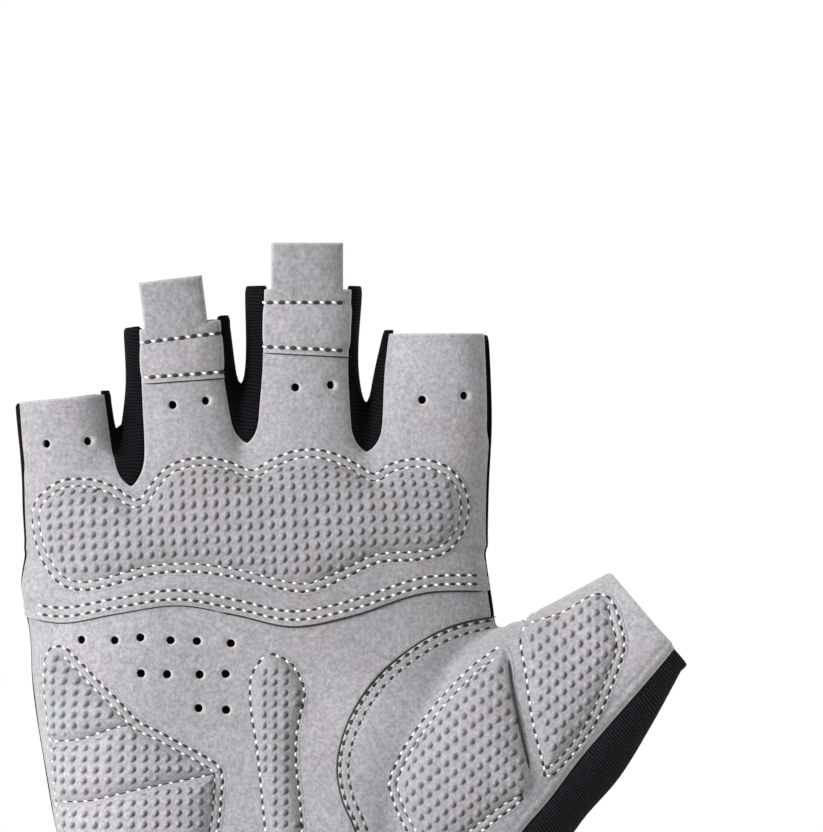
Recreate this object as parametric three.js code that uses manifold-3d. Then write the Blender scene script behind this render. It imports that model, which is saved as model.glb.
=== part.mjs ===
import * as THREE from 'three';
import { mergeVertices } from 'three/addons/utils/BufferGeometryUtils.js';
import Module from 'manifold-3d';

// Half-finger cycling glove for a right hand, in its worn shape.
// The palm faces -Y, the fingers point to +Z and the thumb to +X.
// The origin is the centre of the wrist opening. Lengths are millimetres.

const wasm = await Module();
wasm.setup();

// Driving sizes
const PALM_WIDTH = 90;
const PALM_LENGTH = 112;
const PALM_DEPTH = 32;
const FINGER_ROOT = 94;
const PINKY_WIDTH = 19;
const PINKY_DEPTH = 18.5;
const PINKY_REACH = 27.5;
const RING_WIDTH = 22;
const RING_DEPTH = 20;
const RING_REACH = 41.6;
const MIDDLE_WIDTH = 22.7;
const MIDDLE_DEPTH = 20.5;
const MIDDLE_REACH = 48.5;
const INDEX_WIDTH = 22.5;
const INDEX_DEPTH = 20;
const INDEX_REACH = 40;
const THUMB_WIDTH = 21.7;
const THUMB_DEPTH = 21;
const THUMB_FORWARD = 9;
const CUFF_HEIGHT = 12;

// Cloth walls and clearances
const GAP = 0.3;
const SHELL_WALL = 1.4;
const LINING_WALL = 0.9;
const BAND_WALL = 1.1;
const TAB_WALL = 2.4;
const TAB_HEIGHT = 9;
const PAD_RISE = 2.6;
const PAD_RIM = 1;
const PAD_EDGE_ROUND = 3;
const PERFORATION = 1.7;
const SEAM_FORWARD = 3;
const FOURCHETTE_BACK = 4;

// Reach of a cutting body past what it cuts
const PAST = 60;
const OVERRUN = 6;

// Facets round each section
const PALM_SIDES = 26;
const DIGIT_SIDES = 16;
const THUMB_SIDES = 20;
const SECTION_SQUARENESS = 2.35;

// Palm sections: height as a share of PALM_LENGTH, edges as shares of PALM_WIDTH,
// front and back half depths and the depth of the palm's hollow as shares of PALM_DEPTH.
const PALM_ROWS = [
  { rise: 0.000, left: -0.370, right: 0.370, front: 0.58, back: 0.58, hollow: 0.00 },
  { rise: 0.120, left: -0.382, right: 0.382, front: 0.58, back: 0.57, hollow: 0.02 },
  { rise: 0.240, left: -0.420, right: 0.400, front: 0.60, back: 0.55, hollow: 0.08 },
  { rise: 0.343, left: -0.449, right: 0.430, front: 0.61, back: 0.54, hollow: 0.13 },
  { rise: 0.460, left: -0.474, right: 0.460, front: 0.60, back: 0.52, hollow: 0.16 },
  { rise: 0.600, left: -0.500, right: 0.485, front: 0.57, back: 0.50, hollow: 0.14 },
  { rise: 0.670, left: -0.508, right: 0.494, front: 0.54, back: 0.49, hollow: 0.09 },
  { rise: 0.715, left: -0.516, right: 0.490, front: 0.51, back: 0.48, hollow: 0.07 },
  { rise: 0.760, left: -0.520, right: 0.484, front: 0.52, back: 0.48, hollow: 0.03 },
  { rise: 0.830, left: -0.516, right: 0.479, front: 0.51, back: 0.47, hollow: 0.01 },
  { rise: 0.900, left: -0.514, right: 0.477, front: 0.45, back: 0.40, hollow: 0.00 },
  { rise: 0.965, left: -0.500, right: 0.465, front: 0.31, back: 0.30, hollow: 0.00 },
];
const HOLLOW_CENTRE = -0.08;
const HOLLOW_SPREAD = 0.62;

// Digit sections: rise is a share of the reach above the finger root, middle a share of
// PALM_WIDTH, width a share of the digit's own width, tilt in degrees. The last two columns
// are where the suede stops short of the digit's sides, as shares of the width there. A hole
// is a share across the width there and a share of the reach.
const DIGITS = {
  pinky: {
    width: PINKY_WIDTH,
    depth: PINKY_DEPTH,
    reach: PINKY_REACH,
    holes: [{ across: -0.21, rise: 0.68 }, { across: 0.23, rise: 0.70 }],
    rows: [
      { rise: 0.00, middle: -0.395, width: 1.01, tilt: 0, stopLeft: 0.02, stopRight: 0.03 },
      { rise: 0.70, middle: -0.420, width: 1.00, tilt: 3, stopLeft: 0.03, stopRight: 0.04 },
      { rise: 1.00, middle: -0.431, width: 0.96, tilt: 5, stopLeft: 0.04, stopRight: 0.04 },
    ],
  },
  ring: {
    width: RING_WIDTH,
    depth: RING_DEPTH,
    reach: RING_REACH,
    holes: [{ across: -0.08, rise: 0.63 }, { across: 0.21, rise: 0.65 }],
    rows: [
      { rise: 0.00, middle: -0.160, width: 1.15, tilt: 0, stopLeft: 0.15, stopRight: 0.08 },
      { rise: 0.46, middle: -0.173, width: 1.15, tilt: 2, stopLeft: 0.19, stopRight: 0.11 },
      { rise: 0.73, middle: -0.181, width: 0.99, tilt: 5, stopLeft: 0.14, stopRight: 0.10 },
      { rise: 1.00, middle: -0.192, width: 0.94, tilt: 7, stopLeft: 0.15, stopRight: 0.07 },
    ],
  },
  middle: {
    width: MIDDLE_WIDTH,
    depth: MIDDLE_DEPTH,
    reach: MIDDLE_REACH,
    holes: [{ across: -0.05, rise: 0.61 }, { across: 0.26, rise: 0.62 }],
    rows: [
      { rise: 0.00, middle: 0.085, width: 1.18, tilt: 0, stopLeft: 0.08, stopRight: 0.08 },
      { rise: 0.49, middle: 0.077, width: 1.10, tilt: 0, stopLeft: 0.16, stopRight: 0.11 },
      { rise: 0.66, middle: 0.077, width: 0.98, tilt: 0, stopLeft: 0.15, stopRight: 0.08 },
      { rise: 1.00, middle: 0.081, width: 1.00, tilt: 0, stopLeft: 0.16, stopRight: 0.08 },
    ],
  },
  index: {
    width: INDEX_WIDTH,
    depth: INDEX_DEPTH,
    reach: INDEX_REACH,
    holes: [{ across: -0.07, rise: 0.68 }, { across: 0.28, rise: 0.70 }],
    rows: [
      { rise: 0.00, middle: 0.342, width: 1.09, tilt: 0, stopLeft: 0.08, stopRight: 0.03 },
      { rise: 0.59, middle: 0.351, width: 1.08, tilt: 0, stopLeft: 0.12, stopRight: 0.03 },
      { rise: 0.82, middle: 0.358, width: 1.00, tilt: 0, stopLeft: 0.08, stopRight: 0.03 },
      { rise: 1.00, middle: 0.365, width: 0.91, tilt: 0, stopLeft: 0.05, stopRight: 0.03 },
    ],
  },
};

// Thumb sections from deep in the palm to the thumb's opening: the centre as shares of
// PALM_WIDTH and PALM_LENGTH, width and depth as shares of the thumb's, forward as a share
// of THUMB_FORWARD, turn in degrees from the palm's width line.
const THUMB_ROWS = [
  { across: 0.215, rise: 0.150, width: 1.00, depth: 1.10, forward: 0.10, turn: -60 },
  { across: 0.360, rise: 0.300, width: 1.80, depth: 1.48, forward: 0.35, turn: -59 },
  { across: 0.470, rise: 0.420, width: 1.95, depth: 1.60, forward: 0.55, turn: -58 },
  { across: 0.567, rise: 0.515, width: 1.84, depth: 1.56, forward: 0.65, turn: -59 },
  { across: 0.651, rise: 0.565, width: 1.64, depth: 1.40, forward: 0.78, turn: -58 },
  { across: 0.738, rise: 0.638, width: 1.33, depth: 1.20, forward: 0.90, turn: -54 },
  { across: 0.819, rise: 0.711, width: 1.00, depth: 1.00, forward: 1.00, turn: -50 },
];

// Seam lines on the palm's front, as shares of PALM_WIDTH and PALM_LENGTH
const WAVE_SEAM = [
  [-0.640, 0.711], [-0.528, 0.709], [-0.430, 0.699], [-0.314, 0.716], [-0.186, 0.730],
  [-0.062, 0.714], [0.060, 0.694], [0.188, 0.713], [0.340, 0.751], [0.489, 0.753],
  [0.640, 0.753],
];
const ARC_SEAM = [
  [0.560, 0.700], [0.500, 0.707], [0.406, 0.694], [0.322, 0.661], [0.240, 0.607],
  [0.184, 0.539], [0.157, 0.465], [0.166, 0.402], [0.196, 0.343], [0.230, 0.240],
  [0.245, 0.100], [0.245, -0.050],
];
const KNIT_SEAM = [
  [0.960, 0.745], [0.868, 0.654], [0.744, 0.539], [0.668, 0.468], [0.605, 0.400],
  [0.541, 0.340], [0.460, 0.240], [0.390, 0.100], [0.350, -0.050],
];
const THUMB_BACK_SEAM = [
  [0.560, 0.720], [0.460, 0.600], [0.370, 0.450], [0.320, 0.300], [0.300, 0.100],
  [0.290, -0.050],
];

// Where the suede of neighbouring fingers parts, as shares of the palm
const FORKS = [[-0.282, 0.932], [-0.058, 1.003], [0.224, 0.992]];

// Pad outlines as two edges from one end to the other, in shares of the palm. The thumb pad's
// are shares of the thumb instead: across its width, and along it from the palm to its opening.
const PADS = {
  knuckle_pad: {
    first: [
      [-0.496, 0.889], [-0.485, 0.913], [-0.437, 0.942], [-0.374, 0.944], [-0.323, 0.931],
      [-0.272, 0.909], [-0.244, 0.934], [-0.214, 0.962], [-0.175, 0.977], [-0.124, 0.982],
      [-0.075, 0.974], [-0.028, 0.960], [0.011, 0.977], [0.058, 0.992], [0.105, 0.996],
      [0.154, 0.987], [0.197, 0.970], [0.234, 0.954], [0.269, 0.971], [0.327, 0.980],
      [0.387, 0.967], [0.421, 0.936], [0.432, 0.908],
    ],
    second: [
      [-0.495, 0.862], [-0.476, 0.810], [-0.438, 0.769], [-0.387, 0.757], [-0.327, 0.766],
      [-0.246, 0.784], [-0.158, 0.789], [-0.064, 0.780], [0.011, 0.765], [0.079, 0.755],
      [0.130, 0.764], [0.182, 0.783], [0.245, 0.805], [0.327, 0.809], [0.387, 0.822],
      [0.421, 0.855], [0.432, 0.884],
    ],
    along: 34,
  },
  heel_pad_upper: {
    first: [[-0.464, 0.657], [-0.478, 0.623], [-0.472, 0.567], [-0.466, 0.508]],
    second: [[-0.436, 0.659], [-0.412, 0.649], [-0.354, 0.599], [-0.283, 0.542], [-0.272, 0.537]],
    along: 8,
  },
  heel_pad_middle: {
    first: [[-0.464, 0.500], [-0.459, 0.453], [-0.450, 0.398]],
    second: [[-0.264, 0.531], [-0.194, 0.502], [-0.109, 0.462], [-0.093, 0.446]],
    along: 8,
  },
  heel_pad_lower: {
    first: [[-0.449, 0.388], [-0.442, 0.330], [-0.405, 0.270]],
    second: [[-0.091, 0.436], [-0.095, 0.390], [-0.104, 0.330], [-0.130, 0.280]],
    along: 8,
  },
  centre_pad: {
    first: [
      [0.000, 0.642], [-0.024, 0.615], [-0.030, 0.590], [-0.027, 0.545], [-0.018, 0.500],
      [-0.010, 0.448], [-0.002, 0.383], [0.006, 0.330], [0.022, 0.280],
    ],
    second: [
      [0.022, 0.645], [0.060, 0.626], [0.082, 0.591], [0.082, 0.567], [0.068, 0.515],
      [0.066, 0.460], [0.074, 0.397], [0.080, 0.330], [0.064, 0.280],
    ],
    along: 14,
  },
  thenar_pad: {
    first: [
      [0.502, 0.656], [0.440, 0.622], [0.372, 0.566], [0.305, 0.495], [0.268, 0.434],
      [0.288, 0.372], [0.318, 0.330], [0.360, 0.296],
    ],
    second: [
      [0.520, 0.640], [0.527, 0.590], [0.544, 0.522], [0.566, 0.440], [0.541, 0.398],
      [0.490, 0.366], [0.430, 0.325], [0.388, 0.292],
    ],
    along: 14,
  },
  thumb_pad: {
    first: [[-0.45, 0.59], [-0.23, 0.50], [-0.04, 0.43], [0.16, 0.38]],
    second: [
      [-0.42, 0.90], [-0.31, 0.93], [-0.14, 0.90], [-0.01, 0.86], [0.08, 0.77],
      [0.18, 0.61], [0.22, 0.42],
    ],
    along: 12,
    onThumb: true,
  },
};
const PAD_ACROSS = [0, 0.07, 0.22, 0.5, 0.78, 0.93, 1];

// Perforations of the lower palm, as shares of the palm
const PALM_HOLES = [
  [-0.394, 0.671], [-0.321, 0.671], [-0.265, 0.676], [-0.200, 0.671], [-0.144, 0.669],
  [-0.072, 0.665], [-0.263, 0.614], [-0.207, 0.612], [-0.138, 0.611], [-0.083, 0.612],
  [-0.140, 0.554], [-0.082, 0.551],
];

// Finger pulls: where the band's lower edge lies below the digit's opening, at its left and
// right, as shares of the digit's width, and how far the tab reaches to each side.
const PULLS = {
  middle: { dropLeft: 0.53, dropRight: 0.58, tabLeft: -0.27, tabRight: 0.34 },
  ring: { dropLeft: 0.50, dropRight: 0.55, tabLeft: -0.31, tabRight: 0.30 },
};

const COLOURS = {
  suede: { color: 0xbfbdbe, roughness: 0.95, metalness: 0 },
  pad: { color: 0xb4b2b5, roughness: 0.95, metalness: 0 },
  tab: { color: 0xa9a8ab, roughness: 0.95, metalness: 0 },
  black: { color: 0x121214, roughness: 0.8, metalness: 0 },
  knit: { color: 0x1b1b1e, roughness: 0.85, metalness: 0 },
};

// Turning three.js geometry into a solid and back

function toSolid(geometry) {
  const bare = geometry.clone();
  bare.deleteAttribute('normal');
  bare.deleteAttribute('uv');
  const merged = mergeVertices(bare, 1e-4);
  const vertProperties = new Float32Array(merged.attributes.position.array);
  const triVerts = new Uint32Array(merged.index.array);
  return new wasm.Manifold(new wasm.Mesh({ numProp: 3, vertProperties, triVerts }));
}

function toGeometry(solid) {
  const mesh = solid.getMesh();
  const geometry = new THREE.BufferGeometry();
  geometry.setAttribute('position', new THREE.BufferAttribute(new Float32Array(mesh.vertProperties), 3));
  geometry.setIndex(new THREE.BufferAttribute(new Uint32Array(mesh.triVerts), 1));
  return geometry;
}

// The biggest connected body of a solid: crossing seams leave crumbs of cloth beside it
function mainBody(solid) {
  const geometry = toGeometry(solid);
  const index = geometry.index.array;
  const points = geometry.attributes.position;
  const parent = Array.from({ length: points.count }, (_, i) => i);
  const find = (i) => {
    let root = i;
    while (parent[root] !== root) root = parent[root];
    parent[i] = root;
    return root;
  };
  for (let t = 0; t < index.length; t += 3) {
    parent[find(index[t])] = find(index[t + 1]);
    parent[find(index[t + 1])] = find(index[t + 2]);
  }
  const volumes = new Map();
  const a = new THREE.Vector3();
  const b = new THREE.Vector3();
  const c = new THREE.Vector3();
  for (let t = 0; t < index.length; t += 3) {
    a.fromBufferAttribute(points, index[t]);
    b.fromBufferAttribute(points, index[t + 1]);
    c.fromBufferAttribute(points, index[t + 2]);
    const root = find(index[t]);
    volumes.set(root, (volumes.get(root) ?? 0) + a.dot(b.cross(c)) / 6);
  }
  const biggest = [...volumes].sort((one, other) => other[1] - one[1])[0][0];
  const kept = [];
  for (let t = 0; t < index.length; t += 3) {
    if (find(index[t]) === biggest) kept.push(index[t], index[t + 1], index[t + 2]);
  }
  geometry.setIndex(kept);
  return geometry;
}

function joined(solids) {
  return solids.reduce((whole, solid) => whole.add(solid));
}

// Closed lofts through rings

function ring(section, level, sides) {
  const points = [];
  const power = 2 / SECTION_SQUARENESS;
  for (let i = 0; i < sides; i += 1) {
    const angle = (2 * Math.PI * (i + 0.5)) / sides;
    const cos = Math.cos(angle);
    const sin = Math.sin(angle);
    const half = section.halfWidth + level;
    const depth = (sin < 0 ? section.front : section.back) + level;
    const across = half * Math.sign(cos) * Math.abs(cos) ** power;
    let out = depth * Math.sign(sin) * Math.abs(sin) ** power;
    if (sin < 0) {
      const spread = (across / half - HOLLOW_CENTRE) / HOLLOW_SPREAD;
      out += section.hollow * Math.max(0, 1 - spread * spread) ** 2;
    }
    const point = section.centre.clone().addScaledVector(section.side, across);
    point.y += out;
    points.push(point);
  }
  return points;
}

// Rings run anticlockwise seen from above and rise from the first section to the last
function loft(sections, level, sides) {
  const positions = [];
  const faces = [];
  const rings = sections.map((section) => ring(section, level, sides));
  for (const points of rings) {
    for (const point of points) positions.push(point.x, point.y, point.z);
  }
  for (let row = 0; row + 1 < rings.length; row += 1) {
    for (let i = 0; i < sides; i += 1) {
      const next = (i + 1) % sides;
      const low = row * sides;
      const high = low + sides;
      faces.push(low + i, low + next, high + next);
      faces.push(low + i, high + next, high + i);
    }
  }
  const bottom = positions.length / 3;
  const top = bottom + 1;
  const first = sections[0].centre;
  const last = sections.at(-1).centre;
  positions.push(first.x, first.y, first.z, last.x, last.y, last.z);
  const lastRing = (rings.length - 1) * sides;
  for (let i = 0; i < sides; i += 1) {
    const next = (i + 1) % sides;
    faces.push(bottom, next, i);
    faces.push(top, lastRing + i, lastRing + next);
  }
  const geometry = new THREE.BufferGeometry();
  geometry.setAttribute('position', new THREE.Float32BufferAttribute(positions, 3));
  geometry.setIndex(faces);
  return toSolid(geometry);
}

// One more section beyond the last, in line with the last two
function carriedOn(sections, distance) {
  const last = sections.at(-1);
  const way = last.centre.clone().sub(sections.at(-2).centre).normalize();
  return [...sections, { ...last, centre: last.centre.clone().addScaledVector(way, distance) }];
}

function palmSections() {
  return PALM_ROWS.map((row) => ({
    centre: new THREE.Vector3(((row.left + row.right) / 2) * PALM_WIDTH, 0, row.rise * PALM_LENGTH),
    side: new THREE.Vector3(1, 0, 0),
    halfWidth: ((row.right - row.left) / 2) * PALM_WIDTH,
    front: row.front * PALM_DEPTH,
    back: row.back * PALM_DEPTH,
    hollow: row.hollow * PALM_DEPTH,
  }));
}

function digitSections(digit) {
  return digit.rows.map((row) => {
    const tilt = THREE.MathUtils.degToRad(row.tilt);
    return {
      centre: new THREE.Vector3(row.middle * PALM_WIDTH, 0, FINGER_ROOT + row.rise * digit.reach),
      side: new THREE.Vector3(Math.cos(tilt), 0, Math.sin(tilt)),
      halfWidth: (row.width * digit.width) / 2,
      front: digit.depth / 2,
      back: digit.depth / 2,
      hollow: 0,
    };
  });
}

function thumbSections() {
  return THUMB_ROWS.map((row) => {
    const turn = THREE.MathUtils.degToRad(row.turn);
    const depth = (row.depth * THUMB_DEPTH) / 2;
    const centre = new THREE.Vector3(
      row.across * PALM_WIDTH,
      -row.forward * THUMB_FORWARD,
      row.rise * PALM_LENGTH,
    );
    return {
      centre,
      side: new THREE.Vector3(Math.cos(turn), 0, Math.sin(turn)),
      halfWidth: (row.width * THUMB_WIDTH) / 2,
      front: depth,
      back: depth,
      hollow: 0,
    };
  });
}

// The whole hand at an offset from the glove's outer surface. The palm's top, which webs the
// fingers, moves by it too. An open hand runs past the wrist, the fingertips and the thumb's end.
function handForm(level, open = false) {
  const past = open ? OVERRUN : 0;
  const end = (sections) => (past > 0 ? carriedOn(sections, past) : sections);
  const palm = palmSections();
  const top = palm.pop();
  palm.push({ ...top, centre: top.centre.clone().setZ(top.centre.z + level) });
  if (open) {
    const wrist = palm[0];
    palm.unshift({ ...wrist, centre: wrist.centre.clone().setZ(wrist.centre.z - past) });
  }
  const bodies = [loft(palm, level, PALM_SIDES)];
  for (const digit of Object.values(DIGITS)) {
    bodies.push(loft(end(digitSections(digit)), level, DIGIT_SIDES));
  }
  bodies.push(loft(end(thumbSections()), level, THUMB_SIDES));
  return joined(bodies);
}

// Flat outlines in X and Z, and the upright prisms they cut with

function onPalm(shares) {
  return shares.map(([across, rise]) => new THREE.Vector2(across * PALM_WIDTH, rise * PALM_LENGTH));
}

function onThumb(shares) {
  const sections = thumbSections().slice(1);
  return shares.map(([across, along]) => {
    const station = along * (sections.length - 1);
    const row = Math.min(Math.floor(station), sections.length - 2);
    const [near, far] = [sections[row], sections[row + 1]];
    const part = station - row;
    const centre = near.centre.clone().lerp(far.centre, part);
    const side = near.side.clone().lerp(far.side, part).normalize();
    const halfWidth = THREE.MathUtils.lerp(near.halfWidth, far.halfWidth, part);
    centre.addScaledVector(side, 2 * across * halfWidth);
    return new THREE.Vector2(centre.x, centre.z);
  });
}

function smooth(points, steps) {
  return new THREE.SplineCurve(points).getPoints(steps);
}

function area(points) {
  return THREE.ShapeUtils.area(points);
}

// Moves every side of an outline out by a distance, or in by a negative one
function moved(points, distance) {
  const outline = area(points) < 0 ? [...points].reverse() : points;
  const count = outline.length;
  return outline.map((point, i) => {
    const before = point.clone().sub(outline[(i + count - 1) % count]).normalize();
    const after = outline[(i + 1) % count].clone().sub(point).normalize();
    const one = new THREE.Vector2(before.y, -before.x);
    const other = new THREE.Vector2(after.y, -after.x);
    const corner = one.clone().add(other).normalize();
    const reach = distance / Math.max(0.5, corner.dot(one));
    return point.clone().addScaledVector(corner, reach);
  });
}

function prism(points, nearest, farthest) {
  const shape = new THREE.Shape(points);
  const depth = farthest - nearest;
  const geometry = new THREE.ExtrudeGeometry(shape, { depth, bevelEnabled: false });
  geometry.rotateX(Math.PI / 2);
  geometry.translate(0, farthest, 0);
  return toSolid(geometry);
}

function block(low, high) {
  const size = new THREE.Vector3().subVectors(high, low);
  const middle = new THREE.Vector3().addVectors(low, high).multiplyScalar(0.5);
  const geometry = new THREE.BoxGeometry(size.x, size.y, size.z);
  geometry.translate(middle.x, middle.y, middle.z);
  return toSolid(geometry);
}

// The suede's strip up one digit, from the finger root to past its opening
function stripOutline(digit) {
  const sections = carriedOn(digitSections(digit), OVERRUN);
  const rows = [...digit.rows, digit.rows.at(-1)];
  const left = [];
  const right = [];
  sections.forEach((section, i) => {
    const middle = new THREE.Vector2(section.centre.x, section.centre.z);
    const side = new THREE.Vector2(section.side.x, section.side.z);
    const width = 2 * section.halfWidth;
    left.push(middle.clone().addScaledVector(side, (rows[i].stopLeft - 0.5) * width));
    right.push(middle.clone().addScaledVector(side, (0.5 - rows[i].stopRight) * width));
  });
  return [...right, ...left.reverse()];
}

const waveSeam = smooth(onPalm(WAVE_SEAM), 24);
const arcSeam = smooth(onPalm(ARC_SEAM), 20);
const knitSeam = onPalm(KNIT_SEAM);
const thumbBackSeam = onPalm(THUMB_BACK_SEAM);
const forks = onPalm(FORKS);
const cuffTop = CUFF_HEIGHT;

function upperOutline() {
  const top = forks.map((fork) => fork.clone());
  const reach = waveSeam.at(-1).x;
  return [
    ...waveSeam,
    new THREE.Vector2(reach, top.at(-1).y),
    ...top.reverse(),
    new THREE.Vector2(waveSeam[0].x, forks[0].y),
  ];
}

// The lower palm ends where the thumb's arc meets the wave
function lowerOutline() {
  const below = waveSeam.filter((point) => point.x < arcSeam[0].x);
  return [...below, ...arcSeam, new THREE.Vector2(waveSeam[0].x, arcSeam.at(-1).y)];
}

function thumbOutline() {
  const top = new THREE.Vector2(arcSeam[0].x, waveSeam.at(-1).y);
  return [...arcSeam.slice().reverse(), top, new THREE.Vector2(knitSeam[0].x, PAST + top.y),
    ...knitSeam];
}

function thumbBackOutline() {
  const end = new THREE.Vector2(PALM_WIDTH + PAST, thumbBackSeam.at(-1).y);
  return [...thumbBackSeam, end, new THREE.Vector2(end.x, thumbBackSeam[0].y + PAST),
    new THREE.Vector2(thumbBackSeam[0].x, thumbBackSeam[0].y + PAST)];
}

function frontPrism(outline, by) {
  return prism(moved(outline, by), -PAST, -SEAM_FORWARD + by);
}

// The region between the middles of two neighbouring digits, above their fork
function forkOutline(digit, neighbour, fork) {
  const above = (sections) => sections.filter((section) => section.centre.z > fork.y);
  const flat = (section) => new THREE.Vector2(section.centre.x, section.centre.z);
  const near = above(carriedOn(digitSections(digit), OVERRUN)).map(flat);
  const far = above(carriedOn(digitSections(neighbour), OVERRUN)).map(flat);
  const foot = (line) => new THREE.Vector2(line[0].x, fork.y);
  return [foot(near), foot(far), ...far, ...near.reverse()];
}

function fingerHoles() {
  return Object.values(DIGITS).flatMap((digit) => digit.holes.map(({ across, rise }) => {
    const rows = digit.rows;
    const next = rows.findIndex((row) => row.rise >= rise);
    const [low, high] = [rows[next - 1], rows[next]];
    const part = (rise - low.rise) / (high.rise - low.rise);
    const middle = THREE.MathUtils.lerp(low.middle, high.middle, part) * PALM_WIDTH;
    const width = THREE.MathUtils.lerp(low.width, high.width, part) * digit.width;
    return new THREE.Vector2(middle + across * width, FINGER_ROOT + rise * digit.reach);
  }));
}

function perforations(places) {
  return joined(places.map((place) => {
    const geometry = new THREE.CylinderGeometry(PERFORATION / 2, PERFORATION / 2, PAST, 8);
    geometry.translate(place.x, -PAST / 2 - SEAM_FORWARD, place.y);
    return toSolid(geometry);
  }));
}

// The outer shell of cloth, parted into suede panels in front and black cloth behind

const outerForm = handForm(0);
const shell = outerForm.subtract(handForm(-SHELL_WALL, true));
const wide = 2 * PALM_WIDTH + PAST;
const aboveCuff = block(
  new THREE.Vector3(-wide, -PAST, cuffTop + GAP),
  new THREE.Vector3(wide, PAST, 4 * PALM_LENGTH),
);
const inCuff = block(
  new THREE.Vector3(-wide, -PAST, -PAST),
  new THREE.Vector3(wide, PAST, cuffTop),
);
const body = shell.intersect(aboveCuff);
const digits = Object.values(DIGITS);
const halfGap = GAP / 2;

// The upper palm's suede with its four finger strips
function upperCutter(by) {
  const strips = digits.map((digit) => frontPrism(stripOutline(digit), by));
  return joined([frontPrism(upperOutline(), by), ...strips]);
}

const upperPanel = body.intersect(upperCutter(-halfGap)).subtract(perforations(fingerHoles()));
const lowerSuede = body.intersect(frontPrism(lowerOutline(), -halfGap));
const lowerPanel = lowerSuede.subtract(perforations(onPalm(PALM_HOLES)));
const thumbCutter = frontPrism(thumbOutline(), -halfGap).subtract(upperCutter(halfGap));
const thumbPanel = body.intersect(thumbCutter);
const suede = joined([
  upperCutter(halfGap),
  frontPrism(lowerOutline(), halfGap),
  frontPrism(thumbOutline(), halfGap),
]);
const black = body.subtract(suede);
const thumbSide = (by) => prism(moved(thumbBackOutline(), by), -PAST, PAST);
const thumbBack = black.intersect(thumbSide(-halfGap));
const blackHand = black.subtract(thumbSide(halfGap));

const forkPairs = [
  ['fourchette_pinky_ring', DIGITS.pinky, DIGITS.ring, forks[0]],
  ['fourchette_ring_middle', DIGITS.ring, DIGITS.middle, forks[1]],
  ['fourchette_middle_index', DIGITS.middle, DIGITS.index, forks[2]],
];
const forkPrism = ([, near, far, fork], by) =>
  prism(moved(forkOutline(near, far, fork), by), -PAST, FOURCHETTE_BACK + by);
const fourchettes = forkPairs.map((pair) => [pair[0], blackHand.intersect(forkPrism(pair, -halfGap))]);
const backPanel = blackHand.subtract(joined(forkPairs.map((pair) => forkPrism(pair, halfGap))));

// The lining lies just inside the suede and spans its seams
const liningOuter = -SHELL_WALL - GAP;
const liningShell = handForm(liningOuter).subtract(handForm(liningOuter - LINING_WALL, true));
const lining = liningShell.intersect(suede).intersect(aboveCuff);

// Pads are domed sheets laid on the suede

const outerMesh = new THREE.Mesh(toGeometry(outerForm));
outerMesh.geometry.computeBoundingSphere();
const ray = new THREE.Raycaster();
const padSeat = handForm(GAP);

function frontOf(place) {
  ray.set(new THREE.Vector3(place.x, -4 * PAST, place.y), new THREE.Vector3(0, 1, 0));
  return ray.intersectObject(outerMesh)[0].point.y;
}

function pad({ first, second, along, onThumb: thumbed }) {
  const lay = thumbed ? onThumb : onPalm;
  const one = smooth(lay(first), along);
  const other = smooth(lay(second), along);
  const across = PAD_ACROSS.length;
  const top = [];
  const bottom = [];
  one.forEach((start, i) => {
    const end = other[i];
    for (const share of PAD_ACROSS) {
      const place = start.clone().lerp(end, share);
      const toSide = Math.min(share, 1 - share) * start.distanceTo(end);
      const toEnd = Math.min(
        place.distanceTo(one[0].clone().lerp(other[0], share)),
        place.distanceTo(one.at(-1).clone().lerp(other.at(-1), share)),
      );
      const rise = Math.min(1, Math.min(toSide, toEnd) / PAD_EDGE_ROUND);
      const height = PAD_RIM + (PAD_RISE - PAD_RIM) * Math.sqrt(1 - (1 - rise) ** 2);
      const seat = frontOf(place);
      top.push([place.x, seat - GAP - height, place.y]);
      bottom.push([place.x, seat + SHELL_WALL, place.y]);
    }
  });
  const positions = [...top, ...bottom].flat();
  const offset = top.length;
  const faces = [];
  const quad = (a, b, c, d) => faces.push(a, b, c, a, c, d);
  const rows = one.length;
  for (let i = 0; i + 1 < rows; i += 1) {
    for (let j = 0; j + 1 < across; j += 1) {
      const corner = i * across + j;
      quad(corner, corner + 1, corner + 1 + across, corner + across);
      quad(offset + corner, offset + corner + across, offset + corner + 1 + across, offset + corner + 1);
    }
    const start = i * across;
    const end = start + across - 1;
    quad(start, start + across, offset + start + across, offset + start);
    quad(end, offset + end, offset + end + across, end + across);
  }
  const lastRow = (rows - 1) * across;
  for (let j = 0; j + 1 < across; j += 1) {
    quad(j, offset + j, offset + j + 1, j + 1);
    quad(lastRow + j, lastRow + j + 1, offset + lastRow + j + 1, offset + lastRow + j);
  }
  const geometry = new THREE.BufferGeometry();
  geometry.setAttribute('position', new THREE.Float32BufferAttribute(positions, 3));
  geometry.setIndex(faces);
  const solid = toSolid(geometry);
  const facingOut = solid.volume() > 0;
  if (facingOut) return solid.subtract(padSeat);
  geometry.setIndex([...faces].reverse());
  return toSolid(geometry).subtract(padSeat);
}

// Finger pulls: a band sewn over the strip and a folded tab standing on the opening's edge

function digitTube(digit, level, past) {
  const sections = digitSections(digit);
  return loft(past > 0 ? carriedOn(sections, past) : sections, level, DIGIT_SIDES);
}

function tipFrame(digit) {
  const tip = digitSections(digit).at(-1);
  const centre = new THREE.Vector2(tip.centre.x, tip.centre.z);
  const side = new THREE.Vector2(tip.side.x, tip.side.z);
  const up = new THREE.Vector2(-side.y, side.x);
  const width = 2 * tip.halfWidth;
  return (share, height) =>
    centre.clone().addScaledVector(side, share * width).addScaledVector(up, height);
}

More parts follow.
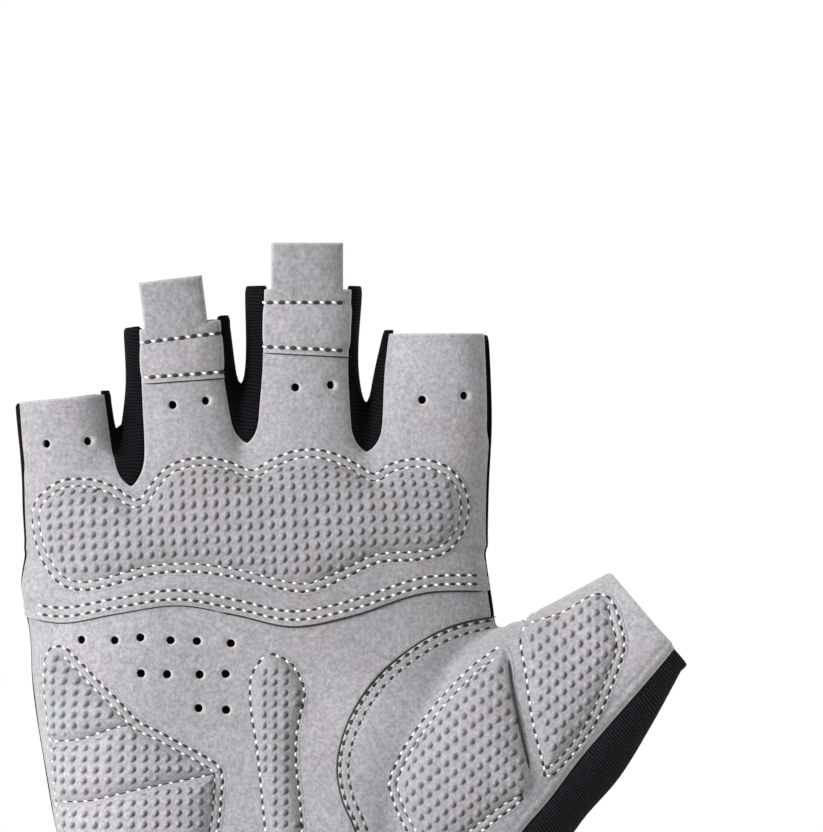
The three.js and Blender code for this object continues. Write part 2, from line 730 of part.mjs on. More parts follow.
function pullBand(digit, pull) {
  const at = tipFrame(digit);
  const tip = digitSections(digit).at(-1);
  const width = 2 * tip.halfWidth;
  const window = prism(
    [
      at(-1, -pull.dropLeft * width),
      at(1, -pull.dropRight * width),
      at(1, OVERRUN),
      at(-1, OVERRUN),
    ],
    -PAST,
    -SEAM_FORWARD - GAP,
  );
  const wrap = digitTube(digit, GAP + BAND_WALL, 0).subtract(digitTube(digit, GAP, OVERRUN));
  const strip = frontPrism(stripOutline(digit), -halfGap);
  return wrap.intersect(window).intersect(strip);
}

function pullTab(digit, pull) {
  const at = tipFrame(digit);
  const window = prism(
    [
      at(pull.tabLeft, GAP),
      at(pull.tabRight, GAP),
      at(pull.tabRight, TAB_HEIGHT),
      at(pull.tabLeft, TAB_HEIGHT),
    ],
    -PAST,
    -SEAM_FORWARD,
  );
  const past = TAB_HEIGHT + OVERRUN;
  const outside = GAP + BAND_WALL;
  const wall = digitTube(digit, outside, past).subtract(digitTube(digit, outside - TAB_WALL, past));
  return wall.intersect(window);
}

// The scene: one named mesh for each piece

const glove = new THREE.Group();

function place(name, solid, colour) {
  const mesh = new THREE.Mesh(mainBody(solid), new THREE.MeshStandardMaterial(COLOURS[colour]));
  mesh.name = name;
  glove.add(mesh);
}

place('upper_palm_panel', upperPanel, 'suede');
place('lower_palm_panel', lowerPanel, 'suede');
place('thumb_palm_panel', thumbPanel, 'suede');
place('palm_lining', lining, 'black');
place('back_panel', backPanel, 'black');
place('thumb_back_panel', thumbBack, 'knit');
place('wrist_cuff', shell.intersect(inCuff), 'black');
for (const [name, solid] of fourchettes) place(name, solid, 'black');
for (const [name, outline] of Object.entries(PADS)) place(name, pad(outline), 'pad');
for (const [name, pull] of Object.entries(PULLS)) {
  place(`${name}_pull_band`, pullBand(DIGITS[name], pull), 'suede');
  place(`${name}_pull_tab`, pullTab(DIGITS[name], pull), 'tab');
}

export default glove;
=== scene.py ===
import math

import bpy
import numpy as np
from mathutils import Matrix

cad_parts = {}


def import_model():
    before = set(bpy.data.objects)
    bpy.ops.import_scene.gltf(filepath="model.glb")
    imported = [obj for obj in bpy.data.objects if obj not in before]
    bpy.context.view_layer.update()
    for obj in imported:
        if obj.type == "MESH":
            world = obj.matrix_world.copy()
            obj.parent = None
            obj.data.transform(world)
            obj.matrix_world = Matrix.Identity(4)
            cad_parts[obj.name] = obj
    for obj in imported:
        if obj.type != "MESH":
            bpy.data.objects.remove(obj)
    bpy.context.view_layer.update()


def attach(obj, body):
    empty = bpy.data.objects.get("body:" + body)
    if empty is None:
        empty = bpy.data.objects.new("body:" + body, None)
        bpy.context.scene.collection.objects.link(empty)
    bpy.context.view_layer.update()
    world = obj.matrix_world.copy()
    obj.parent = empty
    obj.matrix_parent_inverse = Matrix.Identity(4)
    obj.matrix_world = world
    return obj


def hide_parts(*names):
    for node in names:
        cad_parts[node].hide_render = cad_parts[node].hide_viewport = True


# The looks of a right-hand half-finger cycling glove. All shapes are worked out in
# millimetres in the glove's own frame: palm to -Y, fingers to +Z, thumb to +X.

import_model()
MM = 0.001

# The glove's sizes
PALM_WIDTH = 90.0
PALM_LENGTH = 112.0
PALM_DEPTH = 32.0
FINGER_ROOT = 94.0
THUMB_WIDTH = 21.7
THUMB_DEPTH = 21.0
THUMB_FORWARD = 9.0
THUMB_TURN = math.radians(58)
CUFF_HEIGHT = 12.0
SQUARENESS = 2.35
HOLLOW_CENTRE = -0.08
HOLLOW_SPREAD = 0.62
SEAM_FORWARD = 3.0
FOURCHETTE_BACK = 4.0
WALL = 1.4
LINING_WALL = 0.9
SEAM_GAP = 0.15
LAP = 1.6
PERFORATION = 0.82

# How far the form runs on past the openings, and how softly its parts run into each other
BEYOND = 3.0
PALM_TOP = 0.985 * PALM_LENGTH
PALM_TOP_ROUND = 5.0
DIGIT_BLEND = 2.0
PALM_BLEND = 3.5
THUMB_BLEND = 3.0

# Below the little finger the side seam turns back, from this height down and over this run
SEAM_BACK = 2.9
SEAM_TURN_TOP = 84
SEAM_TURN_RUN = 8

# Values and places well outside the glove
FAR = 99.0
OUTSIDE_X = 200
OUTSIDE_Z = 150
FORK_TOP = 160
IN_FRONT = -34.0
THUMB_FROM = 50

# Columns: rise, left, right, front, back, hollow
PALM = np.array([
    (0.000, -0.370, 0.370, 0.58, 0.58, 0.00),
    (0.120, -0.382, 0.382, 0.58, 0.57, 0.02),
    (0.240, -0.420, 0.400, 0.60, 0.55, 0.08),
    (0.343, -0.453, 0.430, 0.61, 0.54, 0.13),
    (0.460, -0.479, 0.460, 0.60, 0.52, 0.16),
    (0.600, -0.504, 0.485, 0.57, 0.50, 0.14),
    (0.670, -0.508, 0.494, 0.54, 0.49, 0.09),
    (0.715, -0.516, 0.490, 0.51, 0.48, 0.07),
    (0.760, -0.526, 0.482, 0.52, 0.48, 0.03),
    (0.830, -0.516, 0.470, 0.51, 0.47, 0.01),
    (0.900, -0.515, 0.463, 0.45, 0.40, 0.00),
    (0.965, -0.504, 0.452, 0.31, 0.30, 0.00),
]).T

# Columns: rise, middle, width, tilt in degrees, where the suede stops at left and right
DIGITS = {
    "pinky": dict(width=19.0, depth=18.5, reach=27.5, rows=np.array([
        (0.00, -0.395, 1.01, 0, 0.02, 0.03),
        (0.70, -0.426, 1.00, 3, 0.03, 0.04),
        (1.00, -0.437, 0.98, 5, 0.04, 0.04)]).T),
    "ring": dict(width=22.0, depth=20.0, reach=41.6, rows=np.array([
        (0.00, -0.160, 1.15, 0, 0.15, 0.08),
        (0.46, -0.173, 1.15, 2, 0.19, 0.11),
        (0.73, -0.181, 0.99, 5, 0.14, 0.10),
        (1.00, -0.192, 0.94, 7, 0.15, 0.07)]).T),
    "middle": dict(width=22.7, depth=20.5, reach=48.5, rows=np.array([
        (0.00, 0.085, 1.18, 0, 0.08, 0.08),
        (0.49, 0.077, 1.10, 0, 0.16, 0.11),
        (0.66, 0.077, 0.98, 0, 0.15, 0.08),
        (1.00, 0.081, 1.00, 0, 0.16, 0.08)]).T),
    "index": dict(width=22.5, depth=20.0, reach=40.0, rows=np.array([
        (0.00, 0.333, 1.07, 0, 0.08, 0.03),
        (0.59, 0.351, 1.08, 0, 0.12, 0.03),
        (0.82, 0.358, 1.00, 0, 0.08, 0.03),
        (1.00, 0.365, 0.91, 0, 0.05, 0.03)]).T),
}

# Columns: across, rise, width, depth, forward
THUMB = np.array([
    (0.215, 0.150, 1.00, 1.10, 0.10),
    (0.360, 0.300, 1.80, 1.48, 0.35),
    (0.470, 0.420, 1.95, 1.60, 0.55),
    (0.567, 0.515, 1.84, 1.56, 0.65),
    (0.651, 0.565, 1.64, 1.40, 0.78),
    (0.740, 0.6357, 1.362, 1.20, 0.90),
    (0.823, 0.7055, 1.060, 1.00, 1.00),
]).T
THUMB_MOUTH_TURN = math.radians(50)

WAVE_SEAM = [
    (-0.640, 0.711), (-0.528, 0.709), (-0.430, 0.699), (-0.314, 0.716), (-0.186, 0.730),
    (-0.062, 0.714), (0.060, 0.694), (0.188, 0.713), (0.340, 0.751), (0.489, 0.753),
    (0.640, 0.753)]
ARC_SEAM = [
    (0.560, 0.700), (0.500, 0.707), (0.406, 0.694), (0.322, 0.661), (0.240, 0.607),
    (0.184, 0.539), (0.157, 0.465), (0.166, 0.402), (0.196, 0.343), (0.230, 0.240),
    (0.245, 0.100), (0.245, -0.050)]
KNIT_SEAM = [
    (0.960, 0.745), (0.868, 0.654), (0.744, 0.539), (0.668, 0.468), (0.605, 0.400),
    (0.541, 0.340), (0.460, 0.240), (0.390, 0.100), (0.350, -0.050)]
THUMB_BACK_SEAM = [
    (0.560, 0.720), (0.460, 0.600), (0.370, 0.450), (0.320, 0.300), (0.300, 0.100),
    (0.290, -0.050)]
FORKS = [(-0.282, 0.927), (-0.058, 0.998), (0.224, 0.987)]


# Curves and outlines

def curve(at, knots, values):
    """A smooth curve through a table's column, held level past its ends."""
    slopes = np.gradient(values, knots)
    at = np.clip(at, knots[0], knots[-1])
    i = np.clip(np.searchsorted(knots, at) - 1, 0, len(knots) - 2)
    step = knots[i + 1] - knots[i]
    t = (at - knots[i]) / step
    low = (1 + 2 * t) * (1 - t) ** 2 * values[i] + t * (1 - t) ** 2 * step * slopes[i]
    high = t * t * (3 - 2 * t) * values[i + 1] - t * t * (1 - t) * step * slopes[i + 1]
    return low + high


def on_palm(shares):
    return np.array(shares, float) * (PALM_WIDTH, PALM_LENGTH)


def smooth(points, loop=False):
    """A curve through the points with a point about every millimetre."""
    if loop:
        points = np.vstack([points[-1:], points, points[:2]])
    else:
        points = np.vstack([2 * points[0] - points[1], points, 2 * points[-1] - points[-2]])
    made = []
    for a, b, c, d in zip(points, points[1:], points[2:], points[3:]):
        count = max(1, int(round(np.linalg.norm(c - b))))
        t = (np.arange(count) / count)[:, None]
        made.append(0.5 * (2 * b + (c - a) * t + (2 * a - 5 * b + 4 * c - d) * t ** 2
                           + (3 * b - a - 3 * c + d) * t ** 3))
    return np.vstack(made) if loop else np.vstack(made + [points[-2]])


def inside(outline, x, z, around=12, batch=8000):
    """Signed distance from a closed outline, positive inside and -FAR well outside."""
    out = np.full(x.shape, -FAR)
    low = outline.min(0) - around
    high = outline.max(0) + around
    near = np.flatnonzero((x > low[0]) & (x < high[0]) & (z > low[1]) & (z < high[1]))
    a = outline
    b = np.roll(outline, -1, 0)
    edge = b - a
    length = np.maximum((edge ** 2).sum(1), 1e-12)
    for start in range(0, len(near), batch):
        pick = near[start:start + batch]
        px = x[pick, None] - a[None, :, 0]
        pz = z[pick, None] - a[None, :, 1]
        t = np.clip((px * edge[:, 0] + pz * edge[:, 1]) / length, 0, 1)
        gap = np.sqrt(((px - t * edge[:, 0]) ** 2 + (pz - t * edge[:, 1]) ** 2).min(1))
        above = (a[None, :, 1] > z[pick, None]) != (b[None, :, 1] > z[pick, None])
        rise = np.where(edge[:, 1] == 0, 1e-12, edge[:, 1])
        crossing = above & (px < pz * (edge[:, 0] / rise))
        out[pick] = np.where(crossing.sum(1) % 2 == 1, gap, -gap)
    return out


def within(outline, points):
    return inside(outline, points[:, 0], points[:, 2])


def over(line, points):
    """How far points lie above a line that runs from left to right."""
    return points[:, 2] - np.interp(points[:, 0], line[:, 0], line[:, 1])


# The hand's form as a signed distance, negative inside

def radial(u, v, a, b):
    """Distance from a rounded section with half sizes a and b, along the ray from its middle."""
    reach = np.hypot(u, v) + 1e-6
    share = (np.abs(u / a) ** SQUARENESS + np.abs(v / b) ** SQUARENESS) ** (1 / SQUARENESS) + 1e-7
    return reach - reach / share


def blended(one, other, radius):
    """The union of two forms, with a fillet between them."""
    return np.minimum(one, other) - np.maximum(radius - np.abs(one - other), 0) ** 2 / (4 * radius)


def palm_distance(x, y, z):
    rise = z / PALM_LENGTH
    left, right, front, back, hollow = (curve(rise, PALM[0], column) for column in PALM[1:])
    half = (right - left) / 2 * PALM_WIDTH
    across = x - (left + right) / 2 * PALM_WIDTH
    spread = (across / half - HOLLOW_CENTRE) / HOLLOW_SPREAD
    dent = hollow * PALM_DEPTH * np.maximum(0, 1 - spread ** 2) ** 2
    depth = np.where(y < 0, front, back) * PALM_DEPTH
    flat = radial(across, y - dent * np.clip(-y / 6, 0, 1), half, depth)
    return -blended(-flat, -(z - PALM_TOP), PALM_TOP_ROUND)


def digit_line(digit, z):
    """A digit's table columns at each height, all but its first."""
    rise = (z - FINGER_ROOT) / digit["reach"]
    rows = digit["rows"]
    return [curve(rise, rows[0], column) for column in rows[1:]]


def digit_distance(digit, x, y, z):
    middle, width, *_ = digit_line(digit, z)
    half = width * digit["width"] / 2
    flat = radial(x - middle * PALM_WIDTH, y, half, digit["depth"] / 2)
    tip = FINGER_ROOT + digit["reach"]
    return np.maximum(flat, np.maximum(FINGER_ROOT - z, z - tip - BEYOND))


THUMB_WAY = np.array([math.sin(THUMB_TURN), math.cos(THUMB_TURN)])
THUMB_SIDE = np.array([math.cos(THUMB_TURN), -math.sin(THUMB_TURN)])
thumb_points = on_palm(THUMB[:2].T)
THUMB_ALONG = thumb_points @ THUMB_WAY
THUMB_ACROSS = thumb_points @ THUMB_SIDE


def thumb_distance(x, y, z):
    along = x * THUMB_WAY[0] + z * THUMB_WAY[1]
    across = x * THUMB_SIDE[0] + z * THUMB_SIDE[1] - curve(along, THUMB_ALONG, THUMB_ACROSS)
    half = curve(along, THUMB_ALONG, THUMB[2]) * THUMB_WIDTH / 2
    depth = curve(along, THUMB_ALONG, THUMB[3]) * THUMB_DEPTH / 2
    forward = curve(along, THUMB_ALONG, THUMB[4]) * THUMB_FORWARD
    flat = radial(across, y + forward, half, depth)
    return np.maximum(flat, np.maximum(THUMB_ALONG[0] - along, along - THUMB_ALONG[-1] - 2 * BEYOND))


def hand(x, y, z):
    """Distance from the glove's outer surface."""
    fingers = None
    for digit in DIGITS.values():
        one = digit_distance(digit, x, y, z)
        fingers = one if fingers is None else blended(fingers, one, DIGIT_BLEND)
    whole = blended(palm_distance(x, y, z), fingers, PALM_BLEND)
    return blended(whole, thumb_distance(x, y, z), THUMB_BLEND)


def slope(points, reach=0.05):
    """The gradient of the form's distance at each point."""
    x, y, z = points.T
    return np.stack([
        hand(x + reach, y, z) - hand(x - reach, y, z),
        hand(x, y + reach, z) - hand(x, y - reach, z),
        hand(x, y, z + reach) - hand(x, y, z - reach)], 1) / (2 * reach)


def normals(points):
    made = slope(points, 0.15)
    return made / np.linalg.norm(made, axis=1, keepdims=True)


def settle(points, rounds=3):
    """Moves points onto the glove's outer surface."""
    for _ in range(rounds):
        way = slope(points)
        away = hand(*points.T) / np.maximum((way ** 2).sum(1), 1e-6)
        points = points - np.clip(away, -1, 1)[:, None] * way
    return points


def front(x, z):
    """Points of the outer surface seen from the palm's side, at each x and z."""
    y = np.full(x.shape, IN_FRONT)
    for _ in range(20):
        y = y + np.clip(hand(x, y, z), -1, 5) * 0.92
    return np.stack([x, y, z], 1)


# Meshes as arrays of points and triangles

def surface(low, high, step):
    """The hand's surface between two corners: one point in each grid cell that it crosses."""
    axes = [np.arange(low[k], high[k] + step, step) for k in range(3)]
    grid = hand(*(part.ravel() for part in np.meshgrid(*axes, indexing="ij")))
    grid = grid.reshape([len(axis) for axis in axes])
    solid = grid < 0
    cells = np.zeros([n - 1 for n in grid.shape], np.uint8)
    corners = [(i, j, k) for i in (0, 1) for j in (0, 1) for k in (0, 1)]
    wide, deep, tall = cells.shape
    for i, j, k in corners:
        cells += solid[i:i + wide, j:j + deep, k:k + tall]
    mixed = np.argwhere((cells > 0) & (cells < 8))
    number = np.full(cells.shape, -1, np.int64)
    number[tuple(mixed.T)] = np.arange(len(mixed))
    total = np.zeros((len(mixed), 3))
    count = np.zeros(len(mixed))
    for one in corners:
        for other in corners:
            if sum(other) - sum(one) != 1 or min(np.subtract(other, one)) < 0:
                continue
            a = grid[tuple((mixed + one).T)]
            b = grid[tuple((mixed + other).T)]
            crosses = (a < 0) != (b < 0)
            t = np.where(crosses, a / np.where(crosses, a - b, 1), 0)
            total += crosses[:, None] * (mixed + one + t[:, None] * np.subtract(other, one))
            count += crosses
    points = np.array([axis[0] for axis in axes]) + step * total / count[:, None]
    quads = []
    for axis in range(3):
        side, other = (axis + 1) % 3, (axis + 2) % 3
        near = [slice(None)] * 3
        far = [slice(None)] * 3
        near[axis], far[axis] = slice(0, -1), slice(1, None)
        a, b = solid[tuple(near)], solid[tuple(far)]
        place = np.argwhere(a != b)
        shape = np.array(cells.shape)
        place = place[((place > 0) | (np.arange(3) == axis)).all(1)
                      & ((place < shape) | (np.arange(3) == axis)).all(1)]
        flip = a[tuple(place.T)]
        step_side = np.eye(3, dtype=int)[side]
        step_other = np.eye(3, dtype=int)[other]
        four = [number[tuple(p.T)] for p in (
            place - step_side - step_other, place - step_other, place, place - step_side)]
        four = np.stack(four, 1)
        four[~flip] = four[~flip][:, ::-1]
        quads.append(four[(four >= 0).all(1)])
    quads = np.vstack(quads)
    tris = np.vstack([quads[:, [0, 1, 2]], quads[:, [0, 2, 3]]])
    return points, tris


def split(points, tris, *fields):
    """Cuts triangles where the first field is zero and carries the other fields along."""
    values = fields[0]
    side = np.where(np.abs(values) < 0.02, 0, np.sign(values)).astype(int)
    corner = side[tris]
    lone = np.full(len(tris), -1)
    both = (corner.min(1) < 0) & (corner.max(1) > 0)
    for k in range(3):
        others = corner[:, [(k + 1) % 3, (k + 2) % 3]]
        alone = both & (corner[:, k] != 0) & (others != corner[:, [k]]).all(1)
        lone[alone & (lone < 0)] = k
    touched = both & (corner == 0).any(1)
    zero = np.argmax(corner == 0, 1)
    keep = tris[~both]
    full = np.flatnonzero(both & ~touched)
    half = np.flatnonzero(touched)

    def roll(rows, first):
        return np.take_along_axis(tris[rows], (first[:, None] + np.arange(3)) % 3, 1)

    a, b, c = roll(full, lone[full]).T
    z, p, q = roll(half, zero[half]).T
    edges = np.sort(np.vstack([np.stack([a, b], 1), np.stack([a, c], 1), np.stack([p, q], 1)]), 1)
    unique, where = np.unique(edges, axis=0, return_inverse=True)
    where = where.ravel()
    start, end = unique.T
    t = values[start] / (values[start] - values[end])

    def mix(array):
        share = t[:, None] if array.ndim > 1 else t
        return np.concatenate([array, array[start] + (array[end] - array[start]) * share])

    ab = len(points) + where[:len(a)]
    ac = len(points) + where[len(a):2 * len(a)]
    pq = len(points) + where[2 * len(a):]
    made = [keep, np.stack([a, ab, ac], 1), np.stack([ab, b, c], 1), np.stack([ab, c, ac], 1),
            np.stack([z, p, pq], 1), np.stack([z, pq, q], 1)]
    carried = [mix(field) for field in fields]
    carried[0][len(points):] = 0
    return mix(points), np.vstack(made), *carried


def lattice(rows, columns):
    """The triangles of a grid of points."""
    i, j = np.meshgrid(np.arange(rows - 1), np.arange(columns - 1), indexing="ij")
    a = (i * columns + j).ravel()
    b = a + columns
    return np.vstack([np.stack([a, b, b + 1], 1), np.stack([a, b + 1, a + 1], 1)])


def twice(field):
    """A point field of a sheet, for both sides of its shell."""
    return np.concatenate([field, field])


def cropped(points, tris, *arrays, by):
    """Keeps the triangles whose middle lies where the field by is positive, and their points."""
    kept = tris[by[tris].mean(1) > 0]
    used = np.unique(kept)
    number = np.zeros(len(points), np.int64)
    number[used] = np.arange(len(used))
    return points[used], number[kept], *(array[used] for array in arrays)


def closed_shell(outer, inner, tris):
    """A solid between two sheets that share their triangles."""
    count = len(outer)
    edges = np.vstack([tris[:, [0, 1]], tris[:, [1, 2]], tris[:, [2, 0]]])
    code = edges[:, 0] * count + edges[:, 1]
    back = edges[:, 1] * count + edges[:, 0]
    rim = edges[~np.isin(code, back)]
    a, b = rim.T
    sides = np.vstack([np.stack([a, a + count, b], 1), np.stack([b, a + count, b + count], 1)])
    return np.vstack([outer, inner]), np.vstack([tris, tris[:, ::-1] + count, sides])


def placed(name, data):
    """A Blender object in the scene that holds this mesh, light or camera."""
    made = bpy.data.objects.new(name, data)
    bpy.context.scene.collection.objects.link(made)
    return made


def make(name, points, tris, material, replaces=(), slot=None, **attributes):
    """A Blender object from points in millimetres."""
    mesh = bpy.data.meshes.new(name)
    mesh.vertices.add(len(points))
    mesh.vertices.foreach_set("co", (points * MM).astype(np.float32).ravel())
    mesh.loops.add(3 * len(tris))
    mesh.loops.foreach_set("vertex_index", tris.astype(np.int32).ravel())
    mesh.polygons.add(len(tris))
    mesh.polygons.foreach_set("loop_start", np.arange(0, 3 * len(tris), 3, dtype=np.int32))
    mesh.polygons.foreach_set("loop_total", np.full(len(tris), 3, dtype=np.int32))
    mesh.update(calc_edges=True)
    mesh.shade_smooth()
    for label, values in attributes.items():
        layer = mesh.attributes.new(label, "FLOAT", "POINT")
        layer.data.foreach_set("value", values.astype(np.float32))
    mesh.materials.append(material)
    piece = placed(name, mesh)
    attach(piece, "root")
    if replaces:
        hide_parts(*replaces)
    return piece


# Outlines of the panels, in x and z

def strip(digit):
    """The suede's strip up a digit, carried past its opening."""
    rows = digit["rows"]
    left = []
    right = []
    for rise in [*np.linspace(0, 1, 30), 1.2]:
        middle, width, tilt, stop_left, stop_right = (
            float(curve(np.array(rise), rows[0], column)) for column in rows[1:])
        tilt = math.radians(tilt)
        past = max(0, rise - 1) * digit["reach"]
        centre = np.array([middle * PALM_WIDTH - past * math.sin(tilt),
                           FINGER_ROOT + rise * digit["reach"]])
        side = np.array([math.cos(tilt), math.sin(tilt)]) * width * digit["width"]
        left.append(centre + (stop_left - 0.5) * side)
        right.append(centre + (0.5 - stop_right) * side)
    return np.array(right + left[::-1])


def tip(digit):
    """A digit's opening: its middle, the way across it, the way out of it and its width."""
    rows = digit["rows"]
    tilt = math.radians(rows[3, -1])
    centre = np.array([rows[1, -1] * PALM_WIDTH, FINGER_ROOT + digit["reach"]])
    side = np.array([math.cos(tilt), math.sin(tilt)])
    return centre, side, np.array([-side[1], side[0]]), rows[2, -1] * digit["width"]


WAVE = smooth(on_palm(WAVE_SEAM))
ARC = smooth(on_palm(ARC_SEAM))
KNIT = smooth(on_palm(KNIT_SEAM))
THUMB_BACK = smooth(on_palm(THUMB_BACK_SEAM))
FORK_POINTS = on_palm(FORKS)
STRIPS = {name: strip(digit) for name, digit in DIGITS.items()}
UPPER = np.vstack([
    WAVE, [(WAVE[-1, 0], FORK_POINTS[-1, 1])], FORK_POINTS[::-1], [(WAVE[0, 0], FORK_POINTS[0, 1])]])
LOWER = np.vstack([WAVE[WAVE[:, 0] < ARC[0, 0]], ARC, [(WAVE[0, 0], ARC[-1, 1])]])
THUMB_FRONT = np.vstack([
    ARC[::-1], [(ARC[0, 0], WAVE[-1, 1])], [(KNIT[0, 0], 60 + WAVE[-1, 1])], KNIT])
THUMB_REAR = np.vstack([
    THUMB_BACK, [(OUTSIDE_X, THUMB_BACK[-1, 1])], [(OUTSIDE_X, OUTSIDE_Z)],
    [(THUMB_BACK[0, 0], OUTSIDE_Z)]])


def fork_outline(one, other, fork):
    """The region between two digits' middles, above their fork."""
    heights = np.arange(fork[1], FORK_TOP, 2.0)
    lines = []
    for digit in (one, other):
        lines.append(np.stack([digit_line(digit, heights)[0] * PALM_WIDTH, heights], 1))
    return np.vstack([lines[0][::-1], lines[1]])


NAMES = list(DIGITS)
FORK_ROUND = 6.0
OPENING_MARGIN = 1.2
FORK_OUTLINES = [fork_outline(DIGITS[NAMES[i]], DIGITS[NAMES[i + 1]], FORK_POINTS[i]) for i in range(3)]


def upper_region(x, z):
    """Distance into the upper panel: its palm part and the four strips, with rounded forks."""
    strips = np.maximum.reduce([inside(outline, x, z) for outline in STRIPS.values()])
    palm = inside(UPPER, x, z)
    return -blended(-palm, -strips, FORK_ROUND)


def suede_regions(points):
    """Signed distances into the upper, lower and thumb panels, and in front of the side seam."""
    x, y, z = points.T
    upper = upper_region(x, z)
    lower = inside(LOWER, x, z)
    thumb = np.minimum(inside(THUMB_FRONT, x, z), -upper)
    seam = SEAM_FORWARD - SEAM_BACK * eased(SEAM_TURN_TOP - z, 0, SEAM_TURN_RUN) * (x < 0)
    return upper, lower, thumb, -seam - y


def openings(points, past=0.0):
    """Positive below the finger openings and the thumb's, which may lie a little further out."""
    x, _, z = points.T
    kept = np.full(x.shape, FAR)
    for digit in DIGITS.values():
        centre, side, out, width = tip(digit)
        below = past - ((x - centre[0]) * out[0] + (z - centre[1]) * out[1])
        beside = np.abs(x - digit_line(digit, z)[0] * PALM_WIDTH) - width / 2 - OPENING_MARGIN
        kept = np.minimum(kept, np.maximum(below, beside))
    way = (math.sin(THUMB_MOUTH_TURN), math.cos(THUMB_MOUTH_TURN))
    centre = on_palm([THUMB[:2, -1]])[0]
    below = past - ((x - centre[0]) * way[0] + (z - centre[1]) * way[1])
    return np.minimum(kept, np.maximum(below, THUMB_FROM - x))


# Low relief

def ridge(distance, row, depth, width=0.4):
    """The depth of a soft groove along a stitch row that lies at a distance from an edge."""
    return depth * np.exp(-((distance - row) / width) ** 2)


def eased(value, low, high):
    """A smooth step from 0 at low to 1 at high."""
    t = np.clip((value - low) / (high - low), 0, 1)
    return t * t * (3 - 2 * t)


def waver(points, size, seed):
    """Smooth unevenness between about -1 and 1."""
    turn = np.random.default_rng(seed)
    total = np.zeros(len(points))
    for _ in range(7):
        way = turn.normal(size=3)
        way *= turn.uniform(0.6, 1.5) / np.linalg.norm(way) / size
        total += np.sin(points @ way * 2 * math.pi + turn.uniform(0, 6.3))
    return total / 3.2


# Painted light and painted shade: patches where the suede is made paler or darker, with x and z of the
# middle, reach and share
LIGHT_AND_SHADE_PATCHES = [(-36, 42, 24, 0.34), (72, 74, 15, 0.32), (24, 60, 11, 0.24), (-36, 82, 14, 0.12),
         (16, 76, 12, -0.16), (12, 52, 9, -0.08), (33, 128, 12, 0.12), (-40, 110, 12, 0.06)]


def tone(points):
    """How much paler than its common grey the suede is painted at each point: painted light where
    positive, painted shade where negative.
    """
    total = np.zeros(len(points))
    for x, z, reach, share in LIGHT_AND_SHADE_PATCHES:
        total += share * np.exp(-((points[:, 0] - x) ** 2 + (points[:, 2] - z) ** 2) / reach ** 2)
    return total


LIFT = 0.5
LIFT_REACH = 8
ROW_DEPTH = 0.2
WAVE_ROWS = (1.25, 2.95)
ARC_ROWS = (0.5, 2.0)


def lapped(points, into, rows, size, seed):
    """The height of suede that lies over another layer along its edge, with its stitch rows."""
    dips = sum(ridge(into, row, ROW_DEPTH) for row in rows)
    lift = LIFT * np.exp(-(np.maximum(into, 0) / LIFT_REACH) ** 2)
    return lift - dips + 0.12 * waver(points, size, seed)


def upper_height(points):
    return lapped(points, over(WAVE, points), WAVE_ROWS, 16, 3)


def thumb_height(points):
    into = within(THUMB_FRONT, points)
    return lapped(points, np.where(into < -50, 20, into), ARC_ROWS, 18, 4)


def lower_height(points):
    return 0.15 * waver(points, 16, 5) - 0.15


# Cloth panels

def panel(name, sheet, mask, material, replaces, slot, height=None, wall=WALL, level=0.0, edge=0.35):
    """A closed cloth panel: the part of a sheet where the mask is positive, with rounded edges."""
    points, tris, mask = split(*sheet, mask)
    points, tris, mask = cropped(points, tris, mask, by=mask)
    way = normals(points)
    rounding = edge * (1 - np.clip(mask / 0.8, 0, 1)) ** 2
    raised = level + (height(points) if height else 0) - rounding
    outer = points + way * raised[:, None]
    floor = np.minimum(level - wall, raised - 0.6) + rounding * 0.6
    inner = points + way * floor[:, None]
    solid, faces = closed_shell(outer, inner, tris)
    # The panel carries its edge distance for a painted highlight along its edges, and its patches of
    # painted light and painted shade.
    make(name, solid, faces, material, replaces, slot, edge=twice(mask), tone=twice(tone(points)))


# Materials

# Painted highlight along cut edges, and the painted shade at the foot of a nub
EDGE_HIGHLIGHT = (0.42, 0.415, 0.415, 1)
SHADE = (0.012, 0.011, 0.013, 1)


def graph(name, roughness=0.9, metallic=0.0):
    """A new material with its shader, and a way to add linked nodes to it."""
    material = bpy.data.materials.new(name)
    material.use_nodes = True
    tree = material.node_tree
    shader = tree.nodes["Principled BSDF"]
    shader.inputs["Roughness"].default_value = roughness
    shader.inputs["Metallic"].default_value = metallic

    def add(kind, inputs=None, **settings):
        node = tree.nodes.new(kind)
        for key, value in settings.items():
            setattr(node, key, value)
        for key, value in (inputs or {}).items():
            if isinstance(value, bpy.types.NodeSocket):
                tree.links.new(value, node.inputs[key])
            else:
                node.inputs[key].default_value = value
        return node

    def link(socket, name):
        tree.links.new(socket, shader.inputs[name])

    place = add("ShaderNodeTexCoord").outputs["Object"]
    return material, add, link, place, shader


def ramp(add, value, *stops):
    node = add("ShaderNodeValToRGB", {"Fac": value})
    line = node.color_ramp.elements
    while len(line) < len(stops):
        line.new(0.5)
    for element, (position, colour) in zip(line, stops):
        element.position = position
        element.color = (*colour, 1) if len(colour) == 3 else (colour[0],) * 3 + (1,)
    return node.outputs["Color"]


def noise(add, place, scale, detail=2, roughness=0.5):
    return add("ShaderNodeTexNoise", {"Vector": place, "Scale": scale, "Detail": detail,
                                      "Roughness": roughness}).outputs["Fac"]


def mixed(add, share, one, other, way="MIX"):
    return add("ShaderNodeMixRGB", {"Fac": share, "Color1": one, "Color2": other},
               blend_type=way).outputs["Color"]


def ranged(add, value, low, high, top=1.0):
    """A value between 0 and top, carried over to between low and high."""
    return add("ShaderNodeMapRange", {"Value": value, "From Max": top, "To Min": low,
                                      "To Max": high}).outputs["Result"]


def painted(add, name):
    """A field that the mesh carries."""
    return add("ShaderNodeAttribute", attribute_name=name).outputs["Fac"]


def bump(add, height, strength, distance, **under):
    return add("ShaderNodeBump", {"Height": height, "Strength": strength, "Distance": distance,
                                  **under}).outputs["Normal"]


